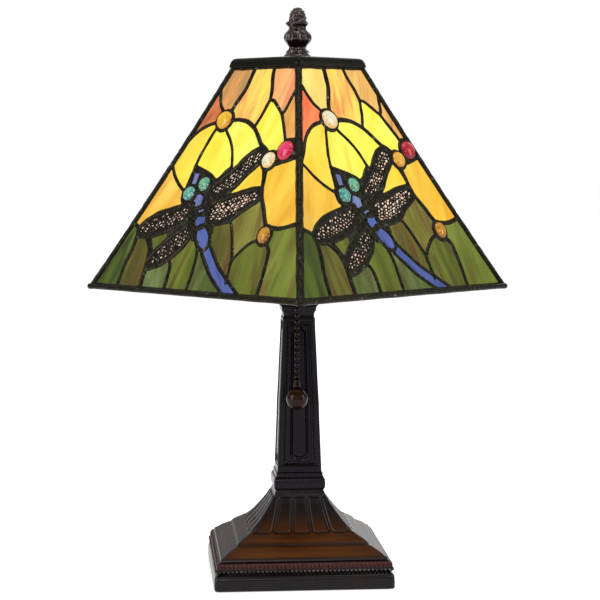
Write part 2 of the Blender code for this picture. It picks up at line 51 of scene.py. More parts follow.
# The shade, in millimetres and degrees
RIM_Z, GLASS_TOP = 195.8, 343.3
RIM_HALF, TOP_HALF, BELLY = 99.3, 30.6, 3.8
SHADE_TURN = 40.9
GLASS_OUT, GLASS_IN = -0.2, -2.6
SHIFT_ENDS, SHIFT_BOW = 2.5, 3.0  # how far the panels' drawings differ: at their ends, and more midway
SHIFT_SHARES = (1.0, 0.0, 0.5, 0.5)
SIDES = ("front_left", "front_right", "rear_right", "rear_left")
CORNERS = ("front", "right", "rear", "left")

# ---------------------------------------------------------------- camera, lights and floor

CAMERA_PLACE, CAMERA_LOOK = (-0.1074, -1.2880, 0.2925), (0.0840, 0.9931, -0.0813)
LENS, SENSOR, FARTHEST = 114.54, 36.0, 50.0
# Each light's name, place, the height it aims at over the lamp's middle, size in metres, and watts
LIGHTS = (
    ("left_box", (-1.5, -0.7, 0.75), 0.2, (0.9, 1.3), 17),
    ("right_box", (1.6, -0.5, 0.7), 0.2, (0.7, 1.2), 10),
    ("rear_box", (0.5, 1.7, 0.8), 0.2, (1.2, 1.0), 8),
    ("top_box", (0.1, -0.3, 1.9), 0.2, (1.0, 1.0), 9),
    ("flash", (-0.1, -1.9, 0.75), 0.2, (0.07, 0.07), 4.5),
    ("spark", (0.75, -1.5, 1.0), 0.25, (0.05, 0.05), 3.0),
)
BULB_PLACE, BULB_WATTS, BULB_COLOUR, BULB_SIZE = (0.0, 0.0, 0.262), 2.4, (1.0, 0.70, 0.38), 0.012
FLOOR_RINGS, FLOOR_STEPS = (0.0, 0.3, 0.7, 1.5, 3.0, 6.0, 14.0), 96


def aim(data, place, look):
    """Puts a camera or a light at this place, looking this way."""
    piece = bpy.data.objects.new(data.name, data)
    bpy.context.collection.objects.link(piece)
    turn = Vector(look).to_track_quat("-Z", "Y").to_matrix().to_4x4()
    piece.matrix_world = Matrix.Translation(place) @ turn
    return piece


def add_camera():
    data = bpy.data.cameras.new("camera")
    data.lens, data.sensor_width, data.clip_end = LENS, SENSOR, FARTHEST
    bpy.context.scene.camera = aim(data, CAMERA_PLACE, CAMERA_LOOK)


def add_floor():
    rings = [ring(radius, 0.0, FLOOR_STEPS) for radius in FLOOR_RINGS]
    mesh = bpy.data.meshes.new("floor")
    mesh.from_pydata(np.concatenate(rings), [], grid_faces(len(rings), FLOOR_STEPS, wrap=True))
    mesh.update()
    mesh.materials.append(pale_floor())
    floor = bpy.data.objects.new("floor", mesh)
    bpy.context.collection.objects.link(floor)


def add_lights():
    """Soft boxes at both sides, behind and above, two small flashes, and the lit bulb."""
    for name, place, height, size, watts in LIGHTS:
        data = bpy.data.lights.new(name, "AREA")
        data.shape = "RECTANGLE"
        (data.size, data.size_y), data.energy = size, watts
        aim(data, place, Vector((0, 0, height)) - Vector(place))
    data = bpy.data.lights.new("bulb_light", "POINT")
    data.energy, data.color, data.shadow_soft_size = BULB_WATTS, BULB_COLOUR, BULB_SIZE
    aim(data, BULB_PLACE, (0, 0, -1))


def add_world():
    """White behind the lamp, dimmer as a light: brightest overhead, dark near the horizon."""
    world = Nodes(bpy.data.worlds.new("world"), "Background")
    height = world.add("SeparateXYZ", {0: world.add("TexCoord", output="Generated")}, "Z")
    dimmed = world.ramp(height, -0.1, 0.9, 0.16, 0.75)
    seen = world.add("LightPath", output="Is Camera Ray")
    strength = world.add("Mix", {0: seen, 2: dimmed, 3: 1.0})
    bpy.context.scene.world = world.set(Strength=strength, Color=(1, 1, 1))
    bpy.context.scene.view_settings.view_transform = "Standard"


# ---------------------------------------------------------------- node helpers


def linear(rgb):
    """A display colour of 0 to 255 as linear light."""
    values = [c / 255 for c in rgb]
    return tuple(v / 12.92 if v <= 0.04045 else ((v + 0.055) / 1.055) ** 2.4 for v in values)


class Nodes:
    """A material's or the world's node tree, with short ways to add what these finishes use."""

    def __init__(self, data, shader="Principled BSDF"):
        data.use_nodes = True
        self.data, self.tree = data, data.node_tree
        self.shader = self.tree.nodes[shader]
        self.rest = self.add("TexCoord", output="Object")

    def add(self, kind, inputs=None, output=0, **settings):
        """A new node with these inputs and settings: it gives one of the node's outputs."""
        node = self.tree.nodes.new("ShaderNode" + kind)
        for key, value in settings.items():
            setattr(node, key, value)
        for key, value in (inputs or {}).items():
            self.wire(value, node.inputs[key])
        return node.outputs[output]

    def wire(self, value, socket):
        if isinstance(value, bpy.types.NodeSocket):
            self.tree.links.new(value, socket)
        elif isinstance(value, (int, float)):
            socket.default_value = value
        else:
            socket.default_value = (*value, 1.0)[: len(socket.default_value)]

    def set(self, **values):
        for key, value in values.items():
            self.wire(value, self.shader.inputs[key.replace("_", " ")])
        return self.data

    def noise(self, scale, detail=3.0, rough=0.55, warp=0.0, vector=None):
        inputs = {"Scale": scale, "Detail": detail, "Roughness": rough, "Distortion": warp}
        return self.add("TexNoise", {"Vector": vector or self.rest, **inputs}, "Fac")

    def stretched(self, scale, vector=None):
        return self.add("Mapping", {"Vector": vector or self.rest, "Scale": scale}, "Vector")

    def ramp(self, value, low, high, to_low=0.0, to_high=1.0):
        ends = {"From Min": low, "From Max": high, "To Min": to_low, "To Max": to_high}
        return self.add("MapRange", {"Value": value, **ends}, "Result")

    def grade(self, noise, low=0.0, high=1.0):
        """From low to high over the middle of a noise's range."""
        return self.ramp(noise, 0.3, 0.7, low, high)

    def math(self, operation, a, b):
        return self.add("Math", {0: a, 1: b}, operation=operation)

    def times(self, a, b):
        return self.math("MULTIPLY", a, b)

    def plus(self, a, b):
        return self.math("ADD", a, b)

    def mix(self, share, a, b, blend="MIX"):
        return self.add("Mix", {0: share, 6: a, 7: b}, 2, data_type="RGBA", blend_type=blend)

    def attribute(self, name, output="Fac"):
        return self.add("Attribute", output=output, attribute_name=name)

    def bump(self, height, distance, strength):
        normal = self.add("Bump", {"Height": height, "Distance": distance, "Strength": strength}, "Normal")
        self.wire(normal, self.shader.inputs["Normal"])


def finish(name):
    return Nodes(bpy.data.materials.new(name))


# ---------------------------------------------------------------- materials: colours are 0 to 255


def pale_floor():
    nodes = finish("pale_floor")
    colour = nodes.mix(nodes.grade(nodes.noise(40.0, 2.0)), (0.60, 0.60, 0.60), (0.64, 0.64, 0.64))
    return nodes.set(Base_Color=colour, Roughness=0.9, Emission_Color=(1, 1, 1), Emission_Strength=0.62)


def bronze(name, dark, warm, rough, warm_share, scale=60.0, metal=1.0, worn=0.0):
    """Dark cast metal under a satin lacquer: warm where it is rubbed, and light grey on its crests as wear
    and painted glints.
    """
    nodes = finish(name)
    cloud, fine = nodes.noise(scale, 4.0, 0.6, 0.4), nodes.noise(scale * 14, 3.0, 0.6)
    colour = nodes.mix(nodes.ramp(cloud, 0.38, 0.72, 0.0, warm_share), linear(dark), linear(warm))
    colour = nodes.mix(nodes.ramp(fine, 0.5, 0.8, 0.0, 0.2), colour, linear([c * 0.6 for c in dark]))
    if worn:
        # painted glints as well as wear: a light grey laid on the crests
        crests = nodes.times(nodes.attribute("worn"), nodes.ramp(cloud, 0.46, 0.62, 0.04, worn))
        colour = nodes.mix(crests, colour, linear((176, 168, 164)))
        nodes.set(Coat_Weight=0.4, Coat_Roughness=0.05)
    nodes.bump(nodes.plus(nodes.times(cloud, 0.6), nodes.times(fine, 0.02)), 0.00012, 0.5)
    roughness = nodes.grade(fine, rough - 0.02, rough + 0.05)
    return nodes.set(Base_Color=colour, Metallic=metal, Roughness=roughness)


def foot_bronze():
    """The foot's lacquer: near black, rubbed through to rust brown with painted bulb light on the slopes that
    face up, and darkened by painted shade in the hollows.
    """
    nodes = finish("bronze_brown")
    cloud, fine = nodes.noise(38.0, 4.0, 0.6, 0.5), nodes.noise(900.0, 3.0, 0.6)
    streak = nodes.noise(60.0, 3.0, 0.6, 0.3, nodes.stretched((1.0, 1.0, 6.0)))
    # painted light: the brown share also stands in for the bulb's light falling on the foot
    share = nodes.times(nodes.attribute("rub"), nodes.ramp(streak, 0.25, 0.7, 0.75, 1.1))
    share = nodes.plus(share, nodes.ramp(cloud, 0.45, 0.8, 0.0, 0.10))
    colour = nodes.mix(share, linear((20, 17, 20)), linear((86, 45, 12)))
    # painted glints as well as wear: light grey on the beads' crests
    crests = nodes.times(nodes.attribute("worn"), nodes.ramp(cloud, 0.42, 0.62, 0.03, 0.3))
    for part, over in (
        (nodes.attribute("red"), (72, 25, 17)),
        # painted shade: near black in the recesses and on the foot's inner wall
        (nodes.times(nodes.attribute("hollow"), 0.85), (16, 11, 10)),
        (nodes.ramp(fine, 0.5, 0.8, 0.0, 0.15), (20, 15, 14)),
        (crests, (150, 140, 138)),
    ):
        colour = nodes.mix(part, colour, linear(over))
    gloss = nodes.times(nodes.attribute("gloss"), 0.18)
    roughness = nodes.math("SUBTRACT", nodes.grade(fine, 0.29, 0.35), gloss)
    nodes.bump(nodes.plus(nodes.times(cloud, 0.5), nodes.times(fine, 0.03)), 0.0002, 0.4)
    return nodes.set(Base_Color=colour, Metallic=0.55, Roughness=roughness, Specular_IOR_Level=0.35)


def solder():
    """Patinated solder: blackened, with light grey patches on its highest lumps as rubbed-bright patina and
    painted glints.
    """
    nodes = finish("lead")
    lumps, fine = nodes.noise(420.0, 3.0, 0.6, 0.3), nodes.noise(2600.0, 2.0, 0.5)
    # painted glints as well as rubbed patina: light patches where the lumps stand highest
    bright = nodes.ramp(nodes.noise(150.0, 2.0, 0.5, 0.8), 0.62, 0.76)
    bright = nodes.times(bright, nodes.ramp(lumps, 0.5, 0.66))
    colour = nodes.mix(nodes.grade(lumps), linear((22, 20, 15)), linear((48, 45, 36)))
    colour = nodes.mix(nodes.times(bright, 0.6), colour, linear((150, 146, 140)))
    nodes.bump(nodes.plus(lumps, nodes.times(fine, 0.1)), 0.0003, 0.6)
    return nodes.set(Base_Color=colour, Metallic=1.0, Roughness=nodes.grade(fine, 0.28, 0.46))


def metal(name, colour, rough, stain=(60, 48, 38), stained=0.35):
    """Spun or drawn bright metal with turning marks and a little tarnish."""
    nodes = finish(name)
    lines = nodes.noise(700.0, 3.0, 0.6, 0.0, nodes.stretched((1.0, 1.0, 8.0)))
    cloud = nodes.noise(70.0, 4.0, 0.6, 0.6)
    base = nodes.mix(nodes.grade(lines), linear([c * 0.88 for c in colour]), linear(colour))
    base = nodes.mix(nodes.ramp(cloud, 0.5, 0.8, 0.0, stained), base, linear(stain))
    nodes.bump(lines, 0.0001, 0.4)
    return nodes.set(Base_Color=base, Metallic=1.0, Roughness=nodes.grade(cloud, rough, rough + 0.15))


def dull(name, dark, light, rough, scale, height, metallic=0.0):
    """A matt or satin surface with mottled colour and a grain."""
    nodes = finish(name)
    cloud, fine = nodes.noise(scale, 4.0, 0.6, 0.3), nodes.noise(scale * 9, 3.0, 0.6)
    colour = nodes.mix(nodes.grade(cloud), linear(dark), linear(light))
    nodes.bump(nodes.plus(cloud, nodes.times(fine, 0.4)), height, 0.7)
    roughness = nodes.grade(fine, rough - 0.05, rough + 0.08)
    return nodes.set(Base_Color=colour, Metallic=metallic, Roughness=roughness)


def lacquered_wood():
    """Dark red-brown wood under a thin clear lacquer."""
    nodes = finish("dark_wood")
    rings = nodes.noise(160.0, 4.0, 0.6, 0.6, nodes.stretched((1.0, 1.0, 0.25)))
    pores = nodes.noise(1800.0, 2.0, 0.5, 0.0, nodes.stretched((1.0, 1.0, 0.2)))
    colour = nodes.mix(nodes.grade(rings), linear((20, 8, 5)), linear((34, 14, 7)))
    nodes.bump(pores, 0.00003, 0.4)
    nodes.set(Specular_IOR_Level=0.10, Coat_Weight=0.10, Coat_Roughness=0.03)
    return nodes.set(Base_Color=colour, Roughness=nodes.grade(pores, 0.14, 0.22))


def felt():
    """Pressed felt: matt, mottled, with short fibres lying every way."""
    nodes = finish("felt")
    fibres = nodes.noise(2200.0, 4.0, 0.7, 1.2)
    crossing = nodes.noise(900.0, 3.0, 0.7, 0.8, nodes.stretched((1.0, 7.0, 1.0)))
    colour = nodes.mix(nodes.grade(nodes.noise(120.0, 3.0, 0.6)), linear((34, 50, 38)), linear((44, 62, 48)))
    colour = nodes.mix(nodes.ramp(fibres, 0.4, 0.75, 0.0, 0.5), colour, linear((70, 90, 72)))
    nodes.bump(nodes.plus(fibres, crossing), 0.0004, 0.9)
    return nodes.set(Base_Color=colour, Roughness=0.95, Sheen_Weight=0.4)


def lit_bulb():
    nodes = finish("bulb_glass_lit")
    colour = nodes.mix(nodes.grade(nodes.noise(60.0, 2.0)), (1.0, 0.90, 0.72), (1.0, 0.95, 0.82))
    nodes.set(Emission_Color=colour, Emission_Strength=6.0)
    return nodes.set(Base_Color=(0.9, 0.9, 0.88), Roughness=0.3)


LIT_FROM = (0.0, 0.0, 0.286)  # the bulb's centre, in metres
UNLIT = (0.004, 0.004, 0.004)  # what lit glass reflects is mostly dark


def art_glass():
    """Lit art glass, its glow painted as emission that is brighter nearer the bulb: each piece's own colours,
    drawn out into streaks and wisps along its grain.
    """
    nodes = finish("art_glass")
    flow = nodes.attribute("flow", "Vector")
    broad = nodes.noise(1.0, 2.0, 0.5, 0.5, flow)
    wisps = nodes.noise(1.7, 2.0, 0.5, 0.6, nodes.stretched((1.0, 1.3, 1.3), flow))
    veins = nodes.noise(1.2, 2.0, 0.5, 0.8, nodes.stretched((0.8, 1.3, 2.1), flow))
    tint, streak, vein = (nodes.attribute(name, "Color") for name in ("tint", "streak", "vein"))
    colour = nodes.mix(nodes.ramp(broad, 0.36, 0.64), tint, streak)
    colour = nodes.mix(nodes.times(nodes.ramp(veins, 0.50, 0.68), nodes.attribute("veined")), colour, vein)
    # painted light: the glow fades with distance from the bulb's centre
    away = nodes.add("VectorMath", {0: nodes.rest, 1: LIT_FROM}, "Value", operation="DISTANCE")
    shade = nodes.times(nodes.ramp(wisps, 0.25, 0.75, 0.86, 1.10), nodes.ramp(away, 0.045, 0.150, 1.10, 0.86))
    grey = nodes.add("CombineColor", dict.fromkeys(range(3), shade))
    nodes.bump(nodes.plus(broad, nodes.times(wisps, 0.6)), 0.0006, 0.5)
    nodes.set(Emission_Color=nodes.mix(1.0, colour, grey, "MULTIPLY"), Emission_Strength=0.95)
    nodes.set(Base_Color=nodes.mix(0.95, colour, UNLIT), IOR=1.52, Specular_IOR_Level=0.14)
    return nodes.set(Roughness=nodes.grade(wisps, 0.10, 0.22))


def jewel_glass():
    """A lit glass jewel, its glow painted: brightest where its dome gathers the light, with a few painted
    glints inside.
    """
    nodes = finish("jewel_glass")
    flow = nodes.attribute("flow", "Vector")
    tint, streak, vein = (nodes.attribute(name, "Color") for name in ("tint", "streak", "vein"))
    cloud = nodes.noise(2.2, 3.0, 0.6, 1.0, flow)
    # the depth value holds the dome's depth and painted light from above and the left
    share = nodes.plus(nodes.attribute("depth"), nodes.grade(cloud, -0.28, 0.28))
    colour = nodes.mix(nodes.ramp(share, 0.38, 0.98), tint, streak)
    glints = nodes.ramp(nodes.noise(5.0, 2.0, 0.5, 0.5, flow), 0.56, 0.66)
    colour = nodes.mix(nodes.times(glints, nodes.attribute("veined")), colour, vein)
    nodes.bump(cloud, 0.0002, 0.3)
    nodes.set(Emission_Color=colour, Emission_Strength=0.85, Coat_Weight=0.12, Coat_Roughness=0.03)
    nodes.set(Base_Color=nodes.mix(0.96, colour, UNLIT), IOR=1.55, Specular_IOR_Level=0.25)
    return nodes.set(Roughness=nodes.grade(cloud, 0.05, 0.12))


# ---------------------------------------------------------------- mesh helpers


class Mesher:
    """Gathers points in millimetres, faces, and values for each point."""

    def __init__(self):
        self.points, self.faces, self.values, self.count = [], [], {}, 0

    def add(self, points, faces, **values):
        """Adds a part; a value may be given once for all of its points."""
        points = np.asarray(points, float).reshape(-1, 3)
        self.points.append(points)
        self.faces.extend(tuple(int(i) + self.count for i in face) for face in faces)
        self.count += len(points)
        for key, value in values.items():
            value = np.asarray(value, float)
            if value.shape in ((), (3,)):
                value = np.broadcast_to(value, (len(points), *value.shape))
            self.values.setdefault(key, []).append(value)
        return self

    def piece(self, name, material, body, stands_for=(), slot=None, turn=0.0, smooth=True):
        mesh = bpy.data.meshes.new(name)
        mesh.from_pydata(turned(np.concatenate(self.points), turn) * MM, [], self.faces)
        mesh.update()
        for key, parts in self.values.items():
            value = np.concatenate(parts)
            kind, field = ("FLOAT", "value") if value.ndim == 1 else ("FLOAT_VECTOR", "vector")
            mesh.attributes.new(key, kind, "POINT").data.foreach_set(field, value.ravel())
        mesh.polygons.foreach_set("use_smooth", [smooth] * len(mesh.polygons))
        mesh.materials.append(material)
        piece = bpy.data.objects.new(name, mesh)
        bpy.context.collection.objects.link(piece)
        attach(piece, body)
        if stands_for:
            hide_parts(*stands_for)
        return piece


def turned(points, degrees):
    """The points turned counterclockwise in their first two coordinates."""
    c, s = math.cos(math.radians(degrees)), math.sin(math.radians(degrees))
    points = np.array(points, float)
    x, y = points[..., 0].copy(), points[..., 1].copy()
    points[..., 0], points[..., 1] = x * c - y * s, x * s + y * c
    return points


def round_angles(steps):
    return np.linspace(0, TAU, steps, endpoint=False)


def ring(radius, z, steps):
    """Points round the upright axis; the radius may differ from step to step."""
    angle = round_angles(steps)
    return np.stack((radius * np.cos(angle), radius * np.sin(angle), np.full(steps, z)), 1)


def grid_faces(rows, columns, wrap=False):
    """Quads over rows of points; wrap joins each row's ends."""
    number = np.arange(rows * columns).reshape(rows, columns)
    after = np.roll(number, -1, 1)
    quads = np.stack((number[:-1], after[:-1], after[1:], number[1:]), -1)
    return [tuple(quad) for quad in quads[:, : None if wrap else -1].reshape(-1, 4).tolist()]


def end_faces(rows, columns):
    """The first and the last ring of a grid, each as one face."""
    last = (rows - 1) * columns
    return [tuple(range(columns))[::-1], tuple(range(last, last + columns))]


def lathe(outline, steps):
    """A closed turned solid from (radius, z) pairs that run upwards; an end of no radius is one point."""
    points, rings = [], []
    for radius, z in outline:
        count = steps if radius else 1
        rings.append([len(points) + k % count for k in range(steps)])
        points += ring(radius, z, steps)[:count].tolist()
    corners = [
        (low[k], low[k + 1 - steps], high[k + 1 - steps], high[k])
        for low, high in zip(rings, rings[1:])
        for k in range(steps)
    ]
    faces = [tuple(dict.fromkeys(corner)) for corner in corners]
    faces += [tuple(end) for end in (rings[0][::-1], rings[-1]) if end[0] != end[1]]
    return np.array(points), faces


def headings(path, closed=False):
    """The path's unit direction at each of its points."""
    ahead = np.roll(path, -1, 0) - np.roll(path, 1, 0) if closed else np.gradient(path, axis=0)
    return ahead / np.linalg.norm(ahead, axis=1)[:, None]


def rightward(line, closed=False):
    """The unit direction to the right of the line's run at each of its points."""
    return headings(line, closed)[:, ::-1] * (1, -1)


def tube(path, radii, steps, closed=False):
    """A tube along the path, with a radius for every path point and step."""
    path = np.asarray(path, float)
    count = len(path)
    ahead = headings(path, closed)
    up = np.array((0.0, 0.0, 1.0)) if abs(ahead[0][2]) < 0.8 else np.array((1.0, 0.0, 0.0))
    side = np.cross(ahead, up)
    side /= np.linalg.norm(side, axis=1)[:, None]
    top = np.cross(side, ahead)
    angles = round_angles(steps)[None, :, None]
    spokes = np.cos(angles) * side[:, None, :] + np.sin(angles) * top[:, None, :]
    points = (path[:, None, :] + spokes * np.broadcast_to(radii, (count, steps))[:, :, None]).reshape(-1, 3)
    if not closed:
        return points, grid_faces(count, steps, wrap=True) + end_faces(count, steps)
    faces = grid_faces(count + 1, steps, wrap=True)
    return points, [tuple(i % len(points) for i in quad) for quad in faces]


def walls(faces, below):
    """Quads from the free edges of these faces down to their copies, this many points on."""
    edges = {}
    for face in faces:
        for a, b in zip(face, (*face[1:], face[0])):
            if edges.pop((b, a), None) is None:
                edges[(a, b)] = True
    return [(b, a, a + below, b + below) for a, b in edges]


def sheet_faces(faces, below):
    """A sheet's upper faces, its lower ones turned over, and the walls between them."""
    return [*faces, *(tuple(i + below for i in face[::-1]) for face in faces), *walls(faces, below)]


def smooth_line(points, closed=False, step=1.2):
    """A Catmull-Rom curve through the points, in steps of about this length."""
    points = np.array(points, float)
    before, after = 2 * points[:1] - points[1:2], 2 * points[-1:] - points[-2:-1]
    if closed:
        before, after = points[-1:], points[:2]
    line = np.concatenate((before, points, after))
    out = []
    for a, b, c, d in zip(line, line[1:], line[2:], line[3:]):
        count = max(2, int(np.linalg.norm(c - b) / step))
        t = np.arange(count)[:, None] / count
        bend = (2 * a - 5 * b + 4 * c - d) * t**2 + (3 * b - a - 3 * c + d) * t**3
        out.append(0.5 * (2 * b + (c - a) * t + bend))
    return np.concatenate(out if closed else [*out, points[-1:]])


def straight_line(corners, step):
    """The corners, with their straight runs cut into steps of about this length."""
    corners = np.array(corners, float)
    out = [corners[0]]
    for a, b in zip(corners, corners[1:]):
        count = max(1, int(math.dist(a, b) / step))
        out += [a + (b - a) * k / count for k in range(1, count + 1)]
    return np.array(out)


def ellipse(cx, cz, wide, tall, turn=0.0, count=28):
    angles = round_angles(count)
    return turned(np.stack((wide * np.cos(angles), tall * np.sin(angles)), 1), turn) + (cx, cz)


def inside(polygon, x, z):
    """Which of these places lie inside the polygon."""
    x, z = np.asarray(x, float), np.asarray(z, float)
    found = np.zeros(x.shape, bool)
    for (ax, az), (bx, bz) in zip(polygon, np.roll(polygon, -1, 0)):
        crosses = (az > z) != (bz > z)
        with np.errstate(divide="ignore", invalid="ignore"):
            found ^= crosses & (x < (bx - ax) * (z - az) / (bz - az) + ax)
    return found


def distance_to(line, x, z, closed=False):
    """Each place's distance to the line."""
    best = np.full(np.shape(x), 1e9)
    for (ax, az), (bx, bz) in zip(line if closed else line[:-1], np.roll(line, -1, 0)):
        dx, dz = bx - ax, bz - az
        t = np.clip(((x - ax) * dx + (z - az) * dz) / max(dx * dx + dz * dz, 1e-9), 0, 1)
        best = np.minimum(best, (x - ax - t * dx) ** 2 + (z - az - t * dz) ** 2)
    return np.sqrt(best)


def ripple(x, z, size, seed):
    """Smooth noise of about -1 to 1, from a few crossed waves, for arrays."""
    rng = np.random.default_rng(seed)
    total = 0.0
    for _ in range(6):
        angle, phase, pitch = rng.uniform(0, TAU), rng.uniform(0, TAU), rng.uniform(0.6, 1.6) * size
        total = total + np.sin((x * math.cos(angle) + z * math.sin(angle)) * TAU / pitch + phase)
    return total / 3.2


# ---------------------------------------------------------------- the shade's surface


def shade_half(z):
    """Half the shade's width at this height, to the glass's outer face."""
    t = (z - RIM_Z) / (GLASS_TOP - RIM_Z)
    return RIM_HALF + (TOP_HALF - RIM_HALF) * t - BELLY * t * (1 - t)


def on_panel(x, z, out):
    """Points on a panel that faces -Y, this far out from its surface."""
    x, z, out = np.broadcast_arrays(*(np.asarray(v, float) for v in (x, z, out)))
    lean = -(shade_half(z + 0.5) - shade_half(z - 0.5))
    length = np.sqrt(1 + lean**2)
    return np.stack((x, -shade_half(z) - out / length, z + out * lean / length), -1)


def panel_turn(index):
    return SHADE_TURN - 90 * (1 - index)


def outer_side(index):
    """Which side of the panel, -1 or 1, meets the left or the right hip, whose solder is thinner."""
    return 1 if index % 2 else -1


def cartoon_shift(index, z):
    """How far this panel's drawing lies to the left of front_right's."""
    t = np.clip((np.asarray(z, float) - RIM_Z) / (GLASS_TOP - RIM_Z), 0, 1)
    return SHIFT_SHARES[index] * (SHIFT_ENDS + SHIFT_BOW * np.sin(np.pi * t))


def shifted(index, flat):
    """Points of the cartoon, as x and z on this panel."""
    return flat - np.stack((cartoon_shift(index, flat[:, 1]), np.zeros(len(flat))), 1)


# ---------------------------------------------------------------- the cartoon, in front_right's x and z

# Each lead line: its width, then its points
LINES = (
    (3.5, ((-7, 347), (-7.2, 340), (-8.5, 330), (-10.5, 325), (-13.2, 319.5), (-14.8, 314.5))),
    (2.8, ((10.5, 347), (12.5, 337), (16.3, 328), (17.9, 321.5))),
    (2.2, ((17.9, 321.5), (16.6, 316.5), (15.2, 311), (12.3, 304))),
    (2.2, ((17.9, 321.5), (21.5, 321), (26, 317.8), (30, 314.8), (33.5, 312))),
    (2.4, ((33.5, 312), (35.5, 315), (37.5, 324), (40, 332))),
    (2.4, ((33.5, 312), (38, 305.5), (42, 299.5), (44.5, 295.5))),
    (2.2, ((-36, 334), (-33, 330), (-31.5, 326), (-28, 319.5), (-24, 315.5), (-21.5, 313.5))),
    (2.4, ((-23.5, 307.5), (-33, 305.2), (-40, 301.3), (-46, 295.5), (-51, 288), (-58, 279))),
    (2.0, ((46, 295.5), (50, 295.8), (60, 296))),
    (2.8, ((-12, 308.3), (-4, 308.6), (4, 307.3), (12, 303.3), (18, 298.3), (24, 292.5), (29, 290),
        (33, 287))),
    (2.0, ((-22.5, 303.5), (-24, 302), (-27.4, 292.7), (-30, 284.3), (-31.2, 276.3), (-33, 264))),
    (2.0, ((-59, 283.5), (-53.7, 277.7), (-48.7, 271.8), (-42.8, 266.8), (-36.2, 262.7), (-32, 261))),
    (2.0, ((-14.5, 303.5), (-12, 300.5), (-7, 296), (-2, 290), (1.5, 283.5), (4, 277))),
    (2.2, ((-31, 277.9), (-20.3, 274.8), (-12, 271.8), (-8, 269.5), (-4, 270.5), (0, 275), (4, 278))),
    (3.2, ((36, 279), (37.5, 270), (38.5, 264), (41, 258), (46, 251), (50.5, 243.5), (54, 239.5))),
    (2.8, ((56, 240.5), (63, 239.8), (70, 241), (84, 244.6))),
    (2.6, ((42, 279.5), (46, 280.5), (53, 282.5), (66, 286))),
    (2.0, ((31.5, 280), (35.5, 273), (38.3, 264))),
    (2.6, ((-84, 242.5), (-74, 239.5), (-67, 236.5))),
    (3.1, ((-66.3, 232), (-67, 222), (-69.5, 212.7), (-71.3, 193))),
    (3.5, ((-57, 231), (-52, 226.3), (-49.5, 222), (-48, 214), (-48, 193))),
    (2.6, ((-27.5, 217), (-24.5, 211), (-24.1, 193))),
    (2.2, ((-6, 229), (-2.8, 221), (-2, 211), (-2.5, 193))),
    (2.2, ((18.5, 243.5), (21, 240.5), (24.6, 234), (28.1, 226.3), (30.3, 220.6), (31, 215), (31.7, 205))),
    (2.2, ((49.5, 232.5), (43.1, 230.2), (37.4, 225.6), (32.4, 220.6), (30.5, 216))),
    (2.8, ((57.5, 230.5), (61.2, 226), (61.9, 220.6), (62.4, 211.3), (62.1, 193))),
    (2.2, ((-52, 229.5), (-47.7, 222.7), (-46, 219))),
    (2.2, ((-31, 277.5), (-30.2, 266))),
)

# Closed outlines of the body's pieces: the lead's width, then corners, or an oval's centre, halves and turn
BODY = (
    (2.2, ((-31, 264.8), (-23.6, 265.4), (-23.4, 273.8), (-30.3, 275.2))),
    (2.2, ((-24.8, 251.0), (-12.3, 250.8), (-12.3, 258.5), (-17, 261), (-23, 260.4))),
    (2.2, ((-15.8, 246.5), (-7.6, 246.3), (-7.8, 251.5), (-15.4, 251.6))),
)
OVALS = ((2.2, (-8.9, 242.7, 5.9, 5.2)), (2.4, (-2.4, 232.2, 9.4, 5.8, -47)))
TAIL = (
    (4.0, 225.0), (7.0, 222), (11.5, 217.6), (18, 211.5), (26, 206), (33, 201.5), (41, 196.5), (49, 191.5),
)
TAIL_LEAD, TAIL_WIDE = 2.3, 3.9

# Each wing: how open its metal lace is, then its outer outline
WINGS = (
    (0.7, ((-9, 258), (-8, 266), (-0.3, 273.0), (7.2, 278.5), (11.3, 283.0), (18, 288.8), (25, 291.0),
        (31.0, 288.0), (31, 281.5), (28, 278.5), (21, 272), (13, 263.5), (5, 258.5))),
    (0.82, ((-4, 255), (8, 259.5), (20, 262.7), (29, 265), (37.5, 265.5), (40.5, 262), (39.5, 256.5),
        (36, 254.0), (27.4, 249), (19.6, 243.4), (10.3, 240.6), (-0.4, 240), (-5, 243))),
    (0.62, ((-20, 254), (-30.6, 253.2), (-40.6, 250.8), (-52, 247.8), (-59.9, 244), (-66, 239.5),
        (-68.5, 234.5), (-65, 230.6), (-57.7, 229.9), (-47.7, 231.4), (-39, 234), (-30.6, 237.7),
        (-22, 242))),
    (0.58, ((-18, 241.5), (-26.3, 237.5), (-33.4, 233), (-38.4, 229), (-46.5, 221.5), (-49, 214.5),
        (-46.3, 210.3), (-40.6, 210.5), (-30.6, 214.7), (-22, 220.5), (-16, 226.5), (-13, 234))),
)
WING_EDGE = 1.5  # from the outline in to its ridge's centre
WING_LEAD = 3.8

# The solder round the body, which covers the gaps between the wings' roots
BLOBS = (
    (6.0, ((-21, 250), (-18, 248), (-16, 246.5))),
    (4.0, ((-8, 258), (-5.5, 252), (-3.2, 246.6))),
    (4.0, ((-21, 246), (-18, 241.5), (-15, 238))),
    (4.0, ((-34, 262), (-32.5, 255.5), (-26, 254.5))),
    (3.4, ((-14, 237), (-11, 231))),
    (3.6, ((3, 239), (4, 236))),
    (3.2, ((-20.5, 262), (-22, 268))),
)

# Jewels: name, centre x and z, half width, half height, how far they stand out
JEWELS = (
    ("amber_upper", -18.0, 308.3, 6.9, 6.0, 3.4),
    ("red", 48.9, 288.2, 6.6, 6.3, 3.8),
    ("amber_middle", 36.6, 282.1, 5.8, 5.3, 3.2),
    ("amber_lower", 53.8, 235.2, 5.2, 5.4, 3.2),
    ("eye_left", -27.6, 259.7, 5.5, 4.9, 2.9),
    ("eye_right", -16.0, 266.2, 5.3, 4.7, 2.9),
)
JEWEL_LEAD, JEWEL_EDGE = 2.6, 0.5  # the lead's width, and how far out its middle runs

